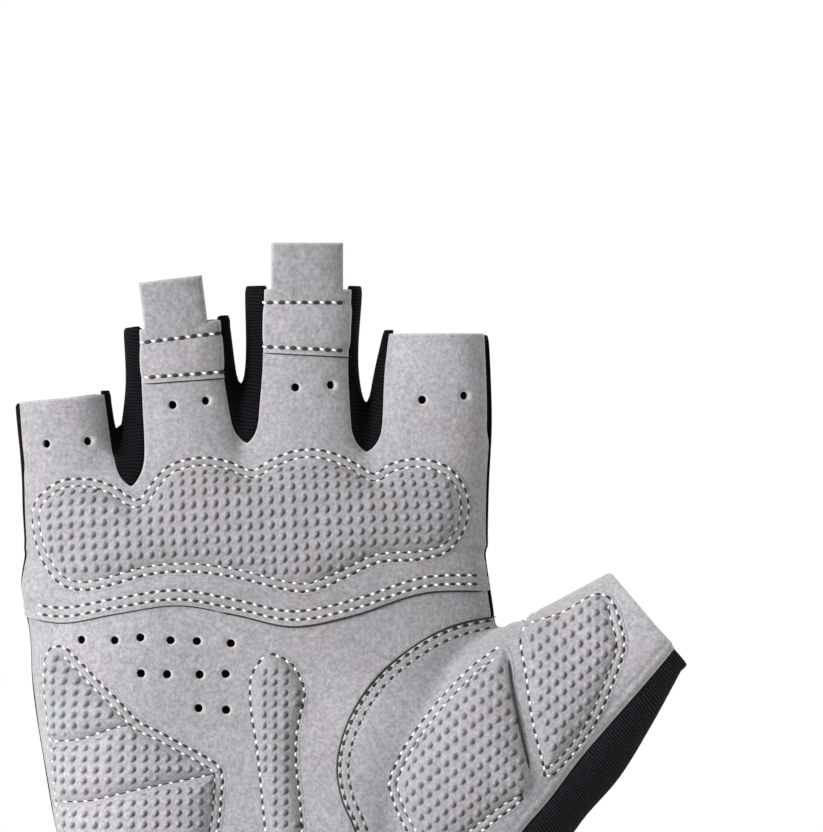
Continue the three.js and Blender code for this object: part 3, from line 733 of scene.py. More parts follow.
def suede(name, colour, spread=0.13, grain=0.6, nap=1300):
    """Brushed suede: mottled colour, a faint pink and green drift, a fine nap, a painted highlight along
    its edges, patches of painted light and shade, and painted shade at the feet of nubs.
    """
    material, add, link, place, shader = graph(name, 0.92)
    light = tuple(min(1, c * (1 + spread)) for c in colour)
    dark = tuple(c * (1 - spread) for c in colour)
    blotch = noise(add, place, 420, 8, 0.78)
    fibre = noise(add, place, nap, 3, 0.7)
    tint = ramp(add, noise(add, place, 90), (0.35, (0.94, 1.0, 1.0)), (0.65, (1.0, 0.955, 0.98)))
    speck = ramp(add, fibre, (0.34, (0.68,)), (0.66, (1.24,)))
    tinted = mixed(add, 0.8, ramp(add, blotch, (0.3, dark), (0.7, light)), tint, "MULTIPLY")
    specked = mixed(add, 0.8, tinted, speck, "MULTIPLY")
    # Painted highlight: the colour turns pale towards each cut edge.
    edge_lit = mixed(add, ranged(add, painted(add, "edge"), 0.45, 0.0, top=0.5), specked, EDGE_HIGHLIGHT)
    # Painted light and painted shade: the colour is made paler or darker in patches.
    share = add("ShaderNodeMath", {0: painted(add, "tone"), 1: 1.0}, operation="ADD")
    toned = mixed(add, 1.0, edge_lit, share.outputs["Value"], "MULTIPLY")
    # Painted shade: a dark crescent at each nub's foot, always on the same side.
    link(mixed(add, painted(add, "pit"), toned, SHADE), "Base Color")
    link(ranged(add, blotch, 0.8, 1.0), "Roughness")
    coarse = bump(add, blotch, grain, 0.0004)
    link(bump(add, fibre, grain, 0.00015, Normal=coarse), "Normal")
    shader.inputs["Sheen Weight"].default_value = 0.25
    shader.inputs["Sheen Roughness"].default_value = 0.5
    shader.inputs["Specular IOR Level"].default_value = 0.2
    return material


def stretch_cloth(name, colour=(0.0012, 0.0012, 0.0016), rib=3000, stripe=(0, 0, 1), speck=0.0005):
    """Black stretch cloth with a fine ribbed knit."""
    material, add, link, place, shader = graph(name, 0.8)
    bend = add("ShaderNodeTexNoise", {"Vector": place, "Scale": 60, "Detail": 2})
    moved = mixed(add, 0.004, place, bend.outputs["Color"], "ADD")
    along = add("ShaderNodeVectorMath", {0: moved, 1: stripe}, operation="DOT_PRODUCT")
    across = add("ShaderNodeCombineXYZ", {"X": along.outputs["Value"]})
    ribs = add("ShaderNodeTexWave", {"Vector": across.outputs["Vector"], "Scale": rib / 6.28,
                                     "Distortion": 0.6, "Detail": 1}, wave_type="BANDS")
    yarn = noise(add, place, 2200)
    both = add("ShaderNodeMath", {0: ribs.outputs["Fac"], 1: yarn}, operation="MULTIPLY")
    lighter = tuple(c * 6 + speck for c in colour)
    link(ramp(add, both.outputs["Value"], (0.15, colour), (0.75, lighter)), "Base Color")
    link(bump(add, both.outputs["Value"], 0.6, 0.0004), "Normal")
    link(ranged(add, yarn, 0.68, 0.95), "Roughness")
    shader.inputs["Specular IOR Level"].default_value = 0.04
    return material


def thread(name, colour):
    material, add, link, place, shader = graph(name, 0.7)
    twist = noise(add, place, 3500)
    dark = tuple(c * 0.8 for c in colour)
    link(ramp(add, twist, (0.35, dark), (0.65, colour)), "Base Color")
    link(bump(add, twist, 0.5, 0.0001), "Normal")
    return material


SUEDE = suede("grey_suede", (0.205, 0.2, 0.208))
PAD_SUEDE = suede("pad_suede", (0.2, 0.195, 0.203))
TAB_SUEDE = suede("pull_suede", (0.185, 0.181, 0.188), spread=0.12, grain=1.0, nap=1000)
BLACK = stretch_cloth("black_stretch")
KNIT_CLOTH = stretch_cloth("black_knit", (0.004, 0.004, 0.005), 3600, (0.75, 0.1, 0.65), 0.012)
ELASTIC = stretch_cloth("black_elastic", rib=1500)
LINING = stretch_cloth("black_lining", (0.0008, 0.0008, 0.001), rib=2400, stripe=(1, 0, 0))
THREAD = thread("grey_thread", (0.6, 0.59, 0.59))
DIM_THREAD = thread("dim_thread", (0.27, 0.265, 0.27))
# Near-black for painted shadow: in needle holes and beside lapped edges.
SHADOW_BLACK = thread("needle_hole_shadow", (0.002, 0.0018, 0.002))

# The glove's sheets: a fine one in front for each suede panel, a coarser one all round

FINE = 0.45
COARSE = 1.05


def settled(low, high, step):
    points, tris = surface(low, high, step)
    return settle(points), tris


upper_sheet = settled((-50, -22, 74), (47, -1, 148), FINE)
lower_sheet = settled((-50, -26, 10), (56, -1, 92), FINE)
thumb_sheet = settled((10, -34, 10), (88, -1, 96), FINE)
whole_sheet = settled((-50, -30, -2.5), (88, 22, 148), COARSE)


def digit_holes():
    places = {"pinky": [(-0.21, 0.68), (0.23, 0.70)], "ring": [(-0.08, 0.63), (0.21, 0.65)],
              "middle": [(-0.05, 0.61), (0.26, 0.62)], "index": [(-0.07, 0.68), (0.28, 0.70)]}
    made = []
    for name, pair in places.items():
        digit = DIGITS[name]
        for across, rise in pair:
            z = FINGER_ROOT + rise * digit["reach"]
            middle, width, *_ = digit_line(digit, np.array(z))
            made.append((middle * PALM_WIDTH + across * width * digit["width"], z))
    return np.array(made)


PALM_HOLES = on_palm([
    (-0.394, 0.671), (-0.321, 0.671), (-0.265, 0.676), (-0.200, 0.671), (-0.144, 0.669),
    (-0.072, 0.665), (-0.263, 0.614), (-0.207, 0.612), (-0.138, 0.611), (-0.083, 0.612),
    (-0.140, 0.554), (-0.082, 0.551)])


def clear_of(points, places):
    """Distance outside the nearest of some perforations."""
    gap = np.full(len(points), FAR)
    for x, z in places:
        gap = np.minimum(gap, np.hypot(points[:, 0] - x, points[:, 2] - z) - PERFORATION)
    return gap


def above_cuff(points):
    return points[:, 2] - CUFF_HEIGHT - SEAM_GAP


def upper_mask(points):
    upper, _, _, forward = suede_regions(points)
    return np.minimum.reduce([upper, forward, openings(points), clear_of(points, digit_holes())])


def lower_mask(points):
    """The lower panel runs on for a short way under the upper one."""
    _, lower, _, forward = suede_regions(points)
    up = over(WAVE, points)
    under = np.where(up < 6, np.maximum(lower, np.minimum(LAP - up, lower + LAP)), -9)
    return np.minimum.reduce([under, forward, above_cuff(points), clear_of(points, PALM_HOLES)])


def thumb_mask(points):
    _, _, thumb, forward = suede_regions(points)
    return np.minimum.reduce([thumb, forward, above_cuff(points), openings(points)])


for name, sheet, mask, height in [
        ("upper_palm", upper_sheet, upper_mask, upper_height),
        ("lower_palm", lower_sheet, lower_mask, lower_height),
        ("thumb_palm", thumb_sheet, thumb_mask, thumb_height)]:
    panel(name, sheet, mask(sheet[0]), SUEDE, [name + "_panel"], "suede", height)

points = whole_sheet[0]
upper, lower, thumb, forward = suede_regions(points)
suede_mask = np.minimum(np.maximum.reduce([upper, lower, thumb]), forward)
black = np.minimum.reduce([-suede_mask, openings(points, -0.25), above_cuff(points)])
taller = np.minimum.reduce([-suede_mask, openings(points, 0.7), above_cuff(points)])
rear = np.where(points[:, 0] > 60, 9, within(THUMB_REAR, points))
panel("thumb_back", whole_sheet, np.minimum(black, rear), KNIT_CLOTH, ["thumb_back_panel"], "black_knit")
between = np.full(len(points), -9.0)
for i, outline in enumerate(FORK_OUTLINES):
    fork = np.minimum(within(outline, points), FOURCHETTE_BACK - points[:, 1])
    name = "fourchette_%s_%s" % (NAMES[i], NAMES[i + 1])
    panel("black_" + name, whole_sheet, np.minimum(taller, fork), BLACK, [name], "black_stretch")
    between = np.maximum(between, fork)
back = np.minimum.reduce([black, -rear, -between])
panel("back", whole_sheet, back, BLACK, ["back_panel"], "black_stretch")
cuff = np.minimum(CUFF_HEIGHT - points[:, 2], points[:, 2])
panel("wrist_elastic", whole_sheet, cuff, ELASTIC, ["wrist_cuff"], "black_elastic", level=-0.1)
behind = np.minimum.reduce([suede_mask + 0.5, openings(points), above_cuff(points)])
panel("lining", whole_sheet, behind, LINING, ["palm_lining"], "black_lining",
      wall=LINING_WALL, level=-1.7, edge=0)


# Pads under the suede, seen as low domes with rows of stitching and rubbery nubs

# The way across the thumb at each of its stations but the first, in degrees
THUMB_TURNS = [59, 58, 59, 58, 54, 50]


def on_thumb(shares):
    """Places on the thumb's front, by shares of its width and of its length."""
    rows = THUMB[:, 1:].T
    turns = np.radians(THUMB_TURNS)
    made = []
    for across, along in shares:
        station = along * (len(rows) - 1)
        row = min(int(station), len(rows) - 2)
        part = station - row
        centre = (rows[row, :2] * (1 - part) + rows[row + 1, :2] * part) * (PALM_WIDTH, PALM_LENGTH)
        turn = turns[row] * (1 - part) + turns[row + 1] * part
        width = (rows[row, 2] * (1 - part) + rows[row + 1, 2] * part) * THUMB_WIDTH
        made.append(centre + across * width * np.array([math.cos(turn), -math.sin(turn)]))
    return np.array(made)


KNUCKLE = smooth(on_palm([
    (-0.496, 0.889), (-0.485, 0.913), (-0.437, 0.942), (-0.374, 0.944), (-0.323, 0.931),
    (-0.272, 0.909), (-0.244, 0.934), (-0.214, 0.962), (-0.175, 0.977), (-0.124, 0.982),
    (-0.075, 0.974), (-0.028, 0.960), (0.011, 0.977), (0.058, 0.992), (0.105, 0.996),
    (0.154, 0.987), (0.197, 0.970), (0.234, 0.954), (0.269, 0.971), (0.327, 0.980),
    (0.387, 0.967), (0.421, 0.936), (0.432, 0.908), (0.432, 0.884), (0.421, 0.855),
    (0.387, 0.822), (0.327, 0.809), (0.245, 0.805), (0.182, 0.783), (0.130, 0.764),
    (0.079, 0.755), (0.011, 0.765), (-0.064, 0.780), (-0.158, 0.789), (-0.246, 0.784),
    (-0.327, 0.766), (-0.387, 0.757), (-0.438, 0.769), (-0.476, 0.810), (-0.495, 0.862)]), True)
HEEL = smooth(on_palm([
    (-0.457, 0.656), (-0.437, 0.658), (-0.419, 0.651), (-0.387, 0.626), (-0.354, 0.599),
    (-0.316, 0.570), (-0.282, 0.541), (-0.265, 0.529), (-0.222, 0.512), (-0.179, 0.493),
    (-0.139, 0.476), (-0.105, 0.459), (-0.094, 0.448), (-0.090, 0.431), (-0.092, 0.410),
    (-0.096, 0.371), (-0.100, 0.350), (-0.118, 0.300), (-0.150, 0.272), (-0.230, 0.262),
    (-0.340, 0.262), (-0.400, 0.272), (-0.430, 0.300), (-0.442, 0.345), (-0.451, 0.410),
    (-0.459, 0.496), (-0.464, 0.513), (-0.470, 0.561), (-0.476, 0.604), (-0.474, 0.627),
    (-0.469, 0.644)]), True)
HEEL_DIVIDERS = [smooth(on_palm(line)) for line in (
    [(-0.500, 0.496), (-0.459, 0.496), (-0.395, 0.500), (-0.368, 0.507), (-0.312, 0.522), (-0.250, 0.531)],
    [(-0.500, 0.390), (-0.432, 0.392), (-0.375, 0.395), (-0.312, 0.407), (-0.254, 0.418), (-0.147, 0.435),
     (-0.070, 0.449)])]
CENTRE = smooth(on_palm([
    (0.000, 0.642), (-0.024, 0.615), (-0.030, 0.590), (-0.027, 0.545), (-0.018, 0.500),
    (-0.010, 0.448), (-0.002, 0.383), (0.006, 0.330), (0.022, 0.284), (0.044, 0.274),
    (0.064, 0.284), (0.080, 0.330), (0.074, 0.397), (0.066, 0.460), (0.068, 0.515),
    (0.082, 0.567), (0.082, 0.591), (0.060, 0.626), (0.022, 0.645)]), True)
THENAR = smooth(on_palm([
    (0.502, 0.656), (0.483, 0.647), (0.440, 0.622), (0.372, 0.566), (0.305, 0.495),
    (0.268, 0.434), (0.270, 0.410), (0.288, 0.372), (0.318, 0.330), (0.352, 0.300),
    (0.372, 0.290), (0.392, 0.296), (0.430, 0.325), (0.490, 0.366), (0.541, 0.398),
    (0.564, 0.425), (0.566, 0.440), (0.544, 0.522), (0.527, 0.590), (0.518, 0.644)]), True)
THUMB_PAD = smooth(on_thumb([
    (-0.45, 0.59), (-0.43, 0.75), (-0.42, 0.90), (-0.31, 0.93), (-0.14, 0.90), (-0.01, 0.86),
    (0.08, 0.77), (0.18, 0.61), (0.22, 0.42), (0.19, 0.37), (0.16, 0.38), (-0.04, 0.43),
    (-0.23, 0.50)]), True)

# The gap between a pad's two stitch rows, and the depth and width of their grooves
ROW_GAP = 1.45
GROOVE_DEPTH = 0.3
GROOVE_WIDTH = 0.38

# How a pad's edge rises over its suede and how its dome flattens towards the middle
RIM_RISE = 0.42
DOME_POWER = 2.6

# The quilted lines between the heel's cells: how far they dip, and how far nubs keep off them
QUILT_REACH = 4.5
QUILT_POWER = 2.2
QUILT_CLEAR = 1.1

# The rubbery nubs, with the way that the dip and the painted shade at their feet lean
NUB_PITCH = 2.1
KNUCKLE_TURN = 3
NUB_RADIUS = 0.55
NUB_RISE = 0.38
NUB_PIT = 0.34
DIP_AND_SHADE_LEAN = (0.93, -0.37)
DIP_AND_SHADE_WIDTH = 0.28
PAD_STEP = 0.25
PAD_BEYOND = 0.8


def pad_relief(into, deep, dome, reach=6.5):
    """Height of a pad over its suede, by the distances inside its outer row and its core."""
    lip = 0.04 + RIM_RISE * eased(into, -PAD_BEYOND, 0.5)
    outer, inner = (ridge(row, 0, GROOVE_DEPTH, GROOVE_WIDTH) for row in (into, deep))
    t = np.clip(deep / reach, 0, 1)
    return lip - (outer + inner * (into > 0.7)) + dome * (1 - (1 - t) ** DOME_POWER)


def nearest(outline, place):
    return np.linalg.norm(outline - place, axis=1).argmin()


def core_of(outline, first=None, last=None):
    """The outline moved in by the gap between stitch rows from one place to another."""
    share = np.ones(len(outline))
    if first is not None:
        i, j = nearest(outline, first), nearest(outline, last)
        order = (np.arange(len(outline)) - i) % len(outline)
        share = (order <= (j - i) % len(outline)).astype(float)
        for _ in range(4):
            share = (np.roll(share, 1) + share + np.roll(share, -1)) / 3
    by = 0.15 + (ROW_GAP - 0.15) * share
    before, after = np.roll(outline, 1, 0), np.roll(outline, -1, 0)
    way = after - before
    way /= np.maximum(np.linalg.norm(way, axis=1, keepdims=True), 1e-9)
    turned = np.sum(outline[:, 0] * after[:, 1] - after[:, 0] * outline[:, 1]) > 0
    inward = np.stack([-way[:, 1], way[:, 0]], 1) * (1 if turned else -1)
    moved = outline + inward * by[:, None]
    return moved[inside(outline, moved[:, 0], moved[:, 1]) > by - 0.12]


def nubs(x, z, outline, turn):
    """Low round nubs on a square grid, only where a whole nub fits, and a crescent at each foot on one
    fixed side, used as a dip and as painted shade.
    """
    cos, sin = math.cos(math.radians(turn)), math.sin(math.radians(turn))
    u = (x * cos + z * sin) / NUB_PITCH
    v = (z * cos - x * sin) / NUB_PITCH
    cu, cv = np.round(u), np.round(v)
    cx = (cu * cos - cv * sin) * NUB_PITCH
    cz = (cu * sin + cv * cos) * NUB_PITCH
    away = np.hypot(x - cx, z - cz)
    fits = inside(outline, cx, cz) > NUB_RADIUS + 0.05
    rise = np.sqrt(np.clip(1 - (away / NUB_RADIUS) ** 2, 0, 1)) * fits
    lean = (x - cx) * DIP_AND_SHADE_LEAN[0] + (z - cz) * DIP_AND_SHADE_LEAN[1]
    foot = np.exp(-((away - 0.95 * NUB_RADIUS) / DIP_AND_SHADE_WIDTH) ** 2)
    return rise, fits * (foot * np.clip(lean / NUB_RADIUS, 0, 1) ** 0.5)


def grid(outline):
    """A square grid of points and triangles round a pad's outline."""
    low = outline.min(0) - PAD_BEYOND - PAD_STEP
    high = outline.max(0) + PAD_BEYOND + 2 * PAD_STEP
    xs = np.arange(low[0], high[0], PAD_STEP)
    zs = np.arange(low[1], high[1], PAD_STEP)
    x, z = (part.ravel() for part in np.meshgrid(xs, zs, indexing="ij"))
    return np.stack([x, np.zeros(len(x)), z], 1), lattice(len(xs), len(zs))


def pad(name, outline, core, carrier, dome, turn, replaces, cut=None, dividers=(), reach=6.5):
    """A padded cell that stands on its carrier, with quilted dips along its dividers."""
    points, tris = grid(outline)
    into = within(outline, points)
    mask = into + PAD_BEYOND
    if cut:
        mask = np.minimum(mask, cut(points))
    points, tris, mask, into = split(points, tris, mask, into)
    points, tris, mask, into = cropped(points, tris, mask, into, by=mask)
    height = pad_relief(into, within(core, points), dome, reach)
    rise, pit = nubs(points[:, 0], points[:, 2], core, turn)
    for line in dividers:
        away = np.abs(over(line, points))
        swell = 1 - (1 - np.clip(away / QUILT_REACH, 0, 1)) ** QUILT_POWER
        height = np.minimum(height, 0.16 + dome * swell + GROOVE_DEPTH * eased(away, 0, 0.6))
        rise, pit = rise * (away > QUILT_CLEAR), pit * (away > QUILT_CLEAR)
    height = height + NUB_RISE * rise - NUB_PIT * pit
    base = front(points[:, 0], points[:, 2])
    way = normals(base)
    outer = base + way * (carrier(base) + height)[:, None]
    inner = base + way * (carrier(base) - 0.5)[:, None]
    solid, faces = closed_shell(outer, inner, tris)
    # The nubs' crescents go into the colour as painted shade, along with the patches of painted light and
    # shade.
    piece = make(name, solid, faces, PAD_SUEDE, replaces, "pad_suede",
                 edge=twice(np.full(len(points), 9.0)), pit=twice(0.92 * pit), tone=twice(tone(base)))


def above(line):
    return lambda points: over(line, points) - 0.01


def below(line):
    return lambda points: -over(line, points) - 0.01


KNUCKLE_CORE = core_of(KNUCKLE)
HEEL_CORE = core_of(HEEL, *on_palm([(-0.437, 0.658), (-0.150, 0.272)]))
CENTRE_CORE = core_of(CENTRE, CENTRE[0], CENTRE[0])
THENAR_CORE = core_of(THENAR, *on_palm([(0.502, 0.656), (0.541, 0.398)]))
THUMB_CORE = core_of(THUMB_PAD, *on_thumb([(-0.31, 0.93), (0.19, 0.37)]))

first, second = HEEL_DIVIDERS
pad("knuckle_padding", KNUCKLE, KNUCKLE_CORE, upper_height, 2.2, KNUCKLE_TURN, ["knuckle_pad"])
heel = dict(outline=HEEL, core=HEEL_CORE, carrier=lower_height, dome=2.2, turn=0, dividers=HEEL_DIVIDERS)
pad("heel_padding_upper", replaces=["heel_pad_upper"], cut=above(first), **heel)
pad("heel_padding_middle", replaces=["heel_pad_middle"],
    cut=lambda points: np.minimum(below(first)(points), above(second)(points)), **heel)
pad("heel_padding_lower", replaces=["heel_pad_lower"], cut=below(second), **heel)
pad("centre_padding", CENTRE, CENTRE_CORE, lower_height, 1.9, 0, ["centre_pad"], reach=4)
pad("thenar_padding", THENAR, THENAR_CORE, thumb_height, 2.2, 42, ["thenar_pad"])
pad("thumb_padding", THUMB_PAD, THUMB_CORE, thumb_height, 1.9, 42, ["thumb_pad"])


# Finger pulls: a band of suede sewn over the strip, and a folded tab above the opening

PULLS = {"middle": dict(drops=(0.53, 0.58), tab=(-0.27, 0.34)),
         "ring": dict(drops=(0.50, 0.55), tab=(-0.29, 0.30))}
BAND_LEVEL = 0.85
BAND_TOP_ROW = -2.6
BAND_FOOT_ROW = 1.15
TAB_REACH = 8.9


def band(name, digit, pull):
    """The suede band over a strip, from a slanting foot up to the opening."""
    centre, side, out, width = tip(digit)

    def place(points):
        x, z = points[:, 0] - centre[0], points[:, 2] - centre[1]
        share = (x * side[0] + z * side[1]) / width + 0.5
        foot = -width * (pull["drops"][0] * (1 - share) + pull["drops"][1] * share)
        return x * out[0] + z * out[1], foot

    def height(points):
        up, foot = place(points)
        dips = ridge(up, BAND_TOP_ROW, 0.22) + ridge(up - foot, BAND_FOOT_ROW, 0.22)
        swell = 0.35 * np.clip((up - foot - BAND_FOOT_ROW) * (BAND_TOP_ROW - up) / 12, 0, 1)
        return swell - dips + 0.08 * waver(points, 9, 11)

    points = upper_sheet[0]
    up, foot = place(points)
    mask = np.minimum.reduce([up - foot, -up - 0.05, within(STRIPS[name], points) - 0.6,
                              -SEAM_FORWARD - points[:, 1]])
    panel(name + "_pull_cloth", upper_sheet, mask, SUEDE, [name + "_pull_band"], "suede", height,
          wall=0.95, level=BAND_LEVEL, edge=0.3)


def tab(name, digit, pull, columns=48, rows=60):
    """A folded strip of suede that runs from the band's upper stitch row to above the opening."""
    centre, side, out, width = tip(digit)
    left, right = (share * width for share in pull["tab"])
    u, v = (part.ravel() for part in np.meshgrid(
        np.linspace(left, right, columns), np.linspace(BAND_TOP_ROW, TAB_REACH, rows), indexing="ij"))
    seat_v = np.minimum(v, -0.3)
    spot = centre + u[:, None] * side + seat_v[:, None] * out
    base = front(spot[:, 0], spot[:, 1])
    base[:, 0] += (v - seat_v) * out[0]
    base[:, 2] += (v - seat_v) * out[1]
    rim = np.where(v > 0, np.minimum.reduce([u - left, right - u, TAB_REACH - v]), 9)
    wave = 0.2 * np.sin(u * 0.35 + 1.2) * np.clip(v / TAB_REACH, 0, 1)
    lean = 0.04 * np.clip(v, 0, 20)
    round_edge = 0.45 * (1 - np.clip(rim / 0.7, 0, 1)) ** 2 * np.clip(v, 0, 1)
    top = BAND_LEVEL + 0.12 + wave + lean - round_edge + 0.1 * waver(base, 7, 13) * np.clip(v / 3, 0, 1)
    depth = 0.5 + 1.8 * eased(v, 0, 1) - 2 * round_edge
    forward = np.array([0, -1, 0])
    outer = base + forward * top[:, None]
    inner = base + forward * (top - depth)[:, None]
    solid, faces = closed_shell(outer, inner, lattice(columns, rows))
    # The rim goes to the material for a painted highlight along the tab's edges.
    make(name + "_pull_loop", solid, faces, TAB_SUEDE, [name + "_pull_tab"], "pull_suede",
         edge=twice(rim))


for name, pull in PULLS.items():
    band(name, DIGITS[name], pull)
    tab(name, DIGITS[name], pull)


# Stitching: light thread over the surface, and dark tubes of painted shadow for the needle holes between
# its stitches

STITCH_PITCH = 2.1
STITCH_POINTS = 12
THREAD_RADII = np.array([0.08, 0.22, 0.26, 0.26, 0.22, 0.08])
THREAD_ARCH = np.array([-0.14, 0.04, 0.12, 0.12, 0.04, -0.14])
THREAD_SLANT = np.linspace(-0.13, 0.13, 6)
HOLE_SHADOW_RADII = np.array([0.12, 0.3, 0.37, 0.38, 0.37, 0.3, 0.12])


def resampled(path, step):
    along = np.concatenate([[0], np.cumsum(np.linalg.norm(np.diff(path, axis=0), axis=1))])
    at = np.arange(0, along[-1], step)
    return np.stack([np.interp(at, along, path[:, k]) for k in (0, 1)], 1)


def offset(path, by):
    """A path moved to its left."""
    way = np.gradient(path, axis=0)
    way /= np.maximum(np.linalg.norm(way, axis=1, keepdims=True), 1e-9)
    return path + by * np.stack([-way[:, 1], way[:, 0]], 1)


def closed(outline):
    return np.vstack([outline, outline[:1]])


def tubes(lines, ways, radius, flat, sides=6):
    """Closed tubes along short lines of points that share one profile of radii."""
    count, steps = lines.shape[:2]
    along = np.gradient(lines, axis=1)
    along /= np.linalg.norm(along, axis=2, keepdims=True)
    across = np.cross(along, ways)
    across /= np.linalg.norm(across, axis=2, keepdims=True)
    turn = np.linspace(0, 2 * math.pi, sides, endpoint=False)
    ring = (across[:, :, None] * np.cos(turn)[None, None, :, None]
            + ways[:, :, None] * (np.sin(turn) * flat)[None, None, :, None])
    points = lines[:, :, None] + ring * radius[None, :, None, None]
    block = steps * sides
    i, j = np.meshgrid(np.arange(steps - 1), np.arange(sides), indexing="ij")
    a = (i * sides + j).ravel()
    b = (i * sides + (j + 1) % sides).ravel()
    tris = np.vstack([np.stack([a, a + sides, b], 1), np.stack([b, a + sides, b + sides], 1)])
    caps = np.array([(0, k, k + 1) for k in range(1, sides - 1)])
    tris = np.vstack([tris, caps, caps[:, ::-1] + block - sides])
    tris = (tris[None] + np.arange(count)[:, None, None] * block).reshape(-1, 3)
    return points.reshape(-1, 3), tris


def sew(path, height, thread_lines):
    """Adds a row of stitches, with dark tubes of painted shadow for the needle holes between them, along a
    path in x and z.
    """
    path = resampled(path, STITCH_PITCH / STITCH_POINTS)
    count = len(path) // STITCH_POINTS
    path = path[:count * STITCH_POINTS]
    base = front(path[:, 0], path[:, 1])
    way = normals(base)
    points = (base + way * height(base)[:, None]).reshape(count, STITCH_POINTS, 3)
    ways = way.reshape(count, STITCH_POINTS, 3)
    across = np.cross(points[:, 6] - points[:, 0], ways[:, 3])
    across /= np.linalg.norm(across, axis=1, keepdims=True)
    slant = THREAD_SLANT[None, :, None] * across[:, None]
    arch = THREAD_ARCH[None, :, None]
    thread_lines.append((points[:, :6] + ways[:, :6] * arch + slant, ways[:, :6]))
    hole_shadow_lines.append((points[:, 5:] + ways[:, 5:] * 0.02, ways[:, 5:]))


def across_tip(digit, pull, first, last, drop=None, lift=0.0):
    """A path over a digit's strip: straight across at a drop, or lifted from its band's foot."""
    centre, side, out, width = tip(digit)
    reach = np.linspace(first, last, 30)[:, None] * width
    if drop is None:
        drop = -width * np.interp(reach / width, (-0.5, 0.5), pull["drops"]) + lift
    return centre + reach * side + drop * out


def over_pad(carrier, outline, core):
    return lambda base: carrier(base) + pad_relief(within(outline, base), within(core, base), 0)


def stretch(outline, first, last):
    """The part of a closed outline from the point nearest one place to that nearest another."""
    i, j = nearest(outline, first), nearest(outline, last)
    return outline[i:j + 1] if i <= j else np.vstack([outline[i:], outline[:j + 1]])


def wave_row(up):
    kept = WAVE[(WAVE[:, 0] > -44.2) & (WAVE[:, 0] < 41.8)]
    return kept + (0, up)


def arc_row(into):
    made = offset(resampled(ARC, 0.5), into)
    return made[(made[:, 0] < 44.5) & (made[:, 1] > 14)]


bright = []
dim = []
hole_shadow_lines = []
on_knuckle = over_pad(upper_height, KNUCKLE, KNUCKLE_CORE)
on_heel = over_pad(lower_height, HEEL, HEEL_CORE)
on_thenar = over_pad(thumb_height, THENAR, THENAR_CORE)
on_thumb_pad = over_pad(thumb_height, THUMB_PAD, THUMB_CORE)
sew(closed(KNUCKLE), on_knuckle, bright)
sew(closed(KNUCKLE_CORE), on_knuckle, bright)
sew(closed(HEEL), on_heel, bright)
sew(stretch(HEEL_CORE, *on_palm([(-0.43, 0.64), (-0.13, 0.28)])), on_heel, bright)
sew(closed(CENTRE), over_pad(lower_height, CENTRE, CENTRE_CORE), bright)
sew(stretch(THENAR, *on_palm([(0.502, 0.656), (0.556, 0.42)])), on_thenar, bright)
sew(stretch(THENAR_CORE, *on_palm([(0.49, 0.64), (0.54, 0.42)])), on_thenar, bright)
sew(closed(THUMB_PAD), on_thumb_pad, bright)
sew(stretch(THUMB_CORE, *on_thumb([(-0.31, 0.90), (0.15, 0.40)])), on_thumb_pad, bright)
for line in HEEL_DIVIDERS:
    kept = line[inside(HEEL, line[:, 0], line[:, 1]) > 0.8]
    sew(kept, lambda base: lower_height(base) + 0.2, bright)
for row in WAVE_ROWS:
    sew(wave_row(row), upper_height, bright)
for row in ARC_ROWS:
    sew(arc_row(row), thumb_height, dim)
for name, pull in PULLS.items():
    over_band = dict(digit=DIGITS[name], pull=pull, first=-0.325, last=0.40)
    sew(across_tip(**over_band, drop=BAND_TOP_ROW),
        lambda base: np.full(len(base), BAND_LEVEL + 0.12), bright)
    sew(across_tip(**over_band, lift=BAND_FOOT_ROW), lambda base: np.full(len(base), BAND_LEVEL), bright)


def all_tubes(lines, radius, flat):
    made = [tubes(points, ways, radius, flat) for points, ways in lines]
    shift = np.cumsum([0] + [len(points) for points, _ in made])
    return (np.vstack([points for points, _ in made]),
            np.vstack([tris + move for (_, tris), move in zip(made, shift)]))


make("pad_stitching", *all_tubes(bright, THREAD_RADII, 0.8), THREAD, slot="suede")
make("arc_stitching", *all_tubes(dim, THREAD_RADII, 0.8), DIM_THREAD, slot="suede")
# Painted shadow of the needle holes: dark tubes lying on the surface between the stitches.
make("needle_hole_shadows", *all_tubes(hole_shadow_lines, HOLE_SHADOW_RADII, 0.35), SHADOW_BLACK, slot="black_stretch")


# Painted shadow: dark lines where one layer of suede lies over another, and piping up the index side

def shadow_line(name, path, height, radius):
    """A dark tube of painted shadow beside an edge of suede, along a path in x and z."""
    path = resampled(path, 0.4)
    base = front(path[:, 0], path[:, 1])
    run_line(name, base, height, radius, SHADOW_BLACK)


def run_line(name, base, height, radius, material):
    """A thin tube with tapered ends at a height over points of the surface."""
    way = normals(base)
    ends = np.minimum(np.arange(len(base)), np.arange(len(base))[::-1])
    taper = radius * np.clip(ends / 4 + 0.2, 0, 1)
    points, tris = tubes((base + way * height)[None], way[None], taper, 0.8, 8)
    make(name, points, tris, material, slot="black_stretch")


def index_side(z, y=-3.1):
    """Points of the outer surface met from the index finger's side at each height."""
    x = np.full(z.shape, PIPING_START)
    y = np.full(z.shape, y)
    for _ in range(40):
        x = x - np.clip(hand(x, y, z), -1, 3) * 0.8
    return np.stack([x, y, z], 1)


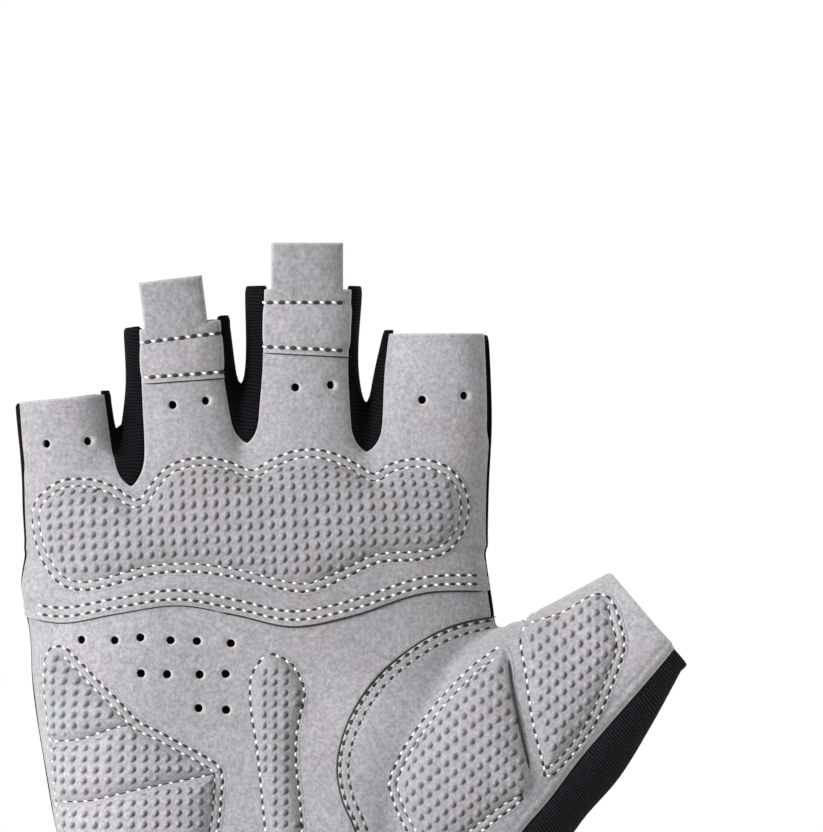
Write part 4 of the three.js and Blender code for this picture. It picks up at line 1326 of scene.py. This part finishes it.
PIPING_START = 47.5
wave_shadow_line = WAVE[(WAVE[:, 0] > -44.6) & (WAVE[:, 0] < 42.5)]
shadow_line("wave_shadow_line_left", wave_shadow_line[wave_shadow_line[:, 0] < -8] - (0, 0.05), 0.1, 0.11)
shadow_line("wave_shadow_line", wave_shadow_line[wave_shadow_line[:, 0] > -9] - (0, 0.08), 0.12, 0.19)
arc_shadow_line = offset(resampled(ARC, 0.5), -0.1)
shadow_line("arc_shadow_line", arc_shadow_line[(arc_shadow_line[:, 0] < 44.5) & (arc_shadow_line[:, 1] > 13)], 0.12, 0.2)
# The thenar pad's steep side gets a thicker line of painted shadow.
shadow_line("thenar_shadow_line", stretch(THENAR, *on_palm([(0.561, 0.45), (0.515, 0.64)])), 0.35, 0.24)
run_line("index_piping", index_side(np.arange(81, FINGER_ROOT + 39.5, 0.5)), 0.05, 0.3, BLACK)
for name, pull in PULLS.items():
    foot = across_tip(DIGITS[name], pull, -0.33, 0.41, lift=-0.08)
    shadow_line(name + "_pull_shadow_line", foot, 0.12, 0.15)


# Floor, light and camera

SENSOR = 36
CAMERA_AWAY = 1500
FRAME_HEIGHT = 160
CAMERA_PLACE = (28.17, -1510, 118.08)


def floor():
    mesh = bpy.data.meshes.new("floor")
    corners = [(-0.8, -0.9, 0), (0.9, -0.9, 0), (0.9, 0.55, 0), (-0.8, 0.55, 0)]
    mesh.from_pydata(corners, [], [(0, 1, 2, 3)])
    ground = placed("floor", mesh)
    ground.location.z = -0.0005
    material, add, link, place, shader = graph("pale_floor", 0.9)
    pale, paler = (0.42, 0.42, 0.42), (0.44, 0.44, 0.44)
    link(ramp(add, noise(add, place, 3, 1), (0.3, pale), (0.7, paler)), "Base Color")
    mesh.materials.append(material)


def world():
    white = bpy.data.worlds.new("studio")
    white.use_nodes = True
    background = white.node_tree.nodes["Background"]
    background.inputs["Color"].default_value = (1, 1, 1, 1)
    background.inputs["Strength"].default_value = 1.0
    bpy.context.scene.world = white


def lamp(name, power, size, place, aim=0.0):
    """A soft square light that points at a height over the middle of the wrist."""
    light = bpy.data.lights.new(name, "AREA")
    light.energy = power
    light.size = size
    stand = placed(name, light)
    stand.location = place
    way = stand.location * -1
    way.z += aim
    stand.rotation_euler = way.to_track_quat("-Z", "Y").to_euler()


def camera():
    """A long lens, level, square to the palm and as far from it as the frame's height needs."""
    lens = bpy.data.cameras.new("camera")
    lens.sensor_width = SENSOR
    lens.lens = SENSOR * CAMERA_AWAY / FRAME_HEIGHT
    lens.clip_end = 20
    eye = placed("camera", lens)
    eye.location = [MM * part for part in CAMERA_PLACE]
    eye.rotation_euler = (math.pi / 2, 0, 0)
    bpy.context.scene.camera = eye


floor()
world()
lamp("key", 33, 0.5, (-1.0, -0.8, 0.26), aim=0.08)
lamp("fill", 5, 0.8, (0.8, -0.9, 0.15))
camera()
bpy.context.scene.view_settings.view_transform = "Standard"
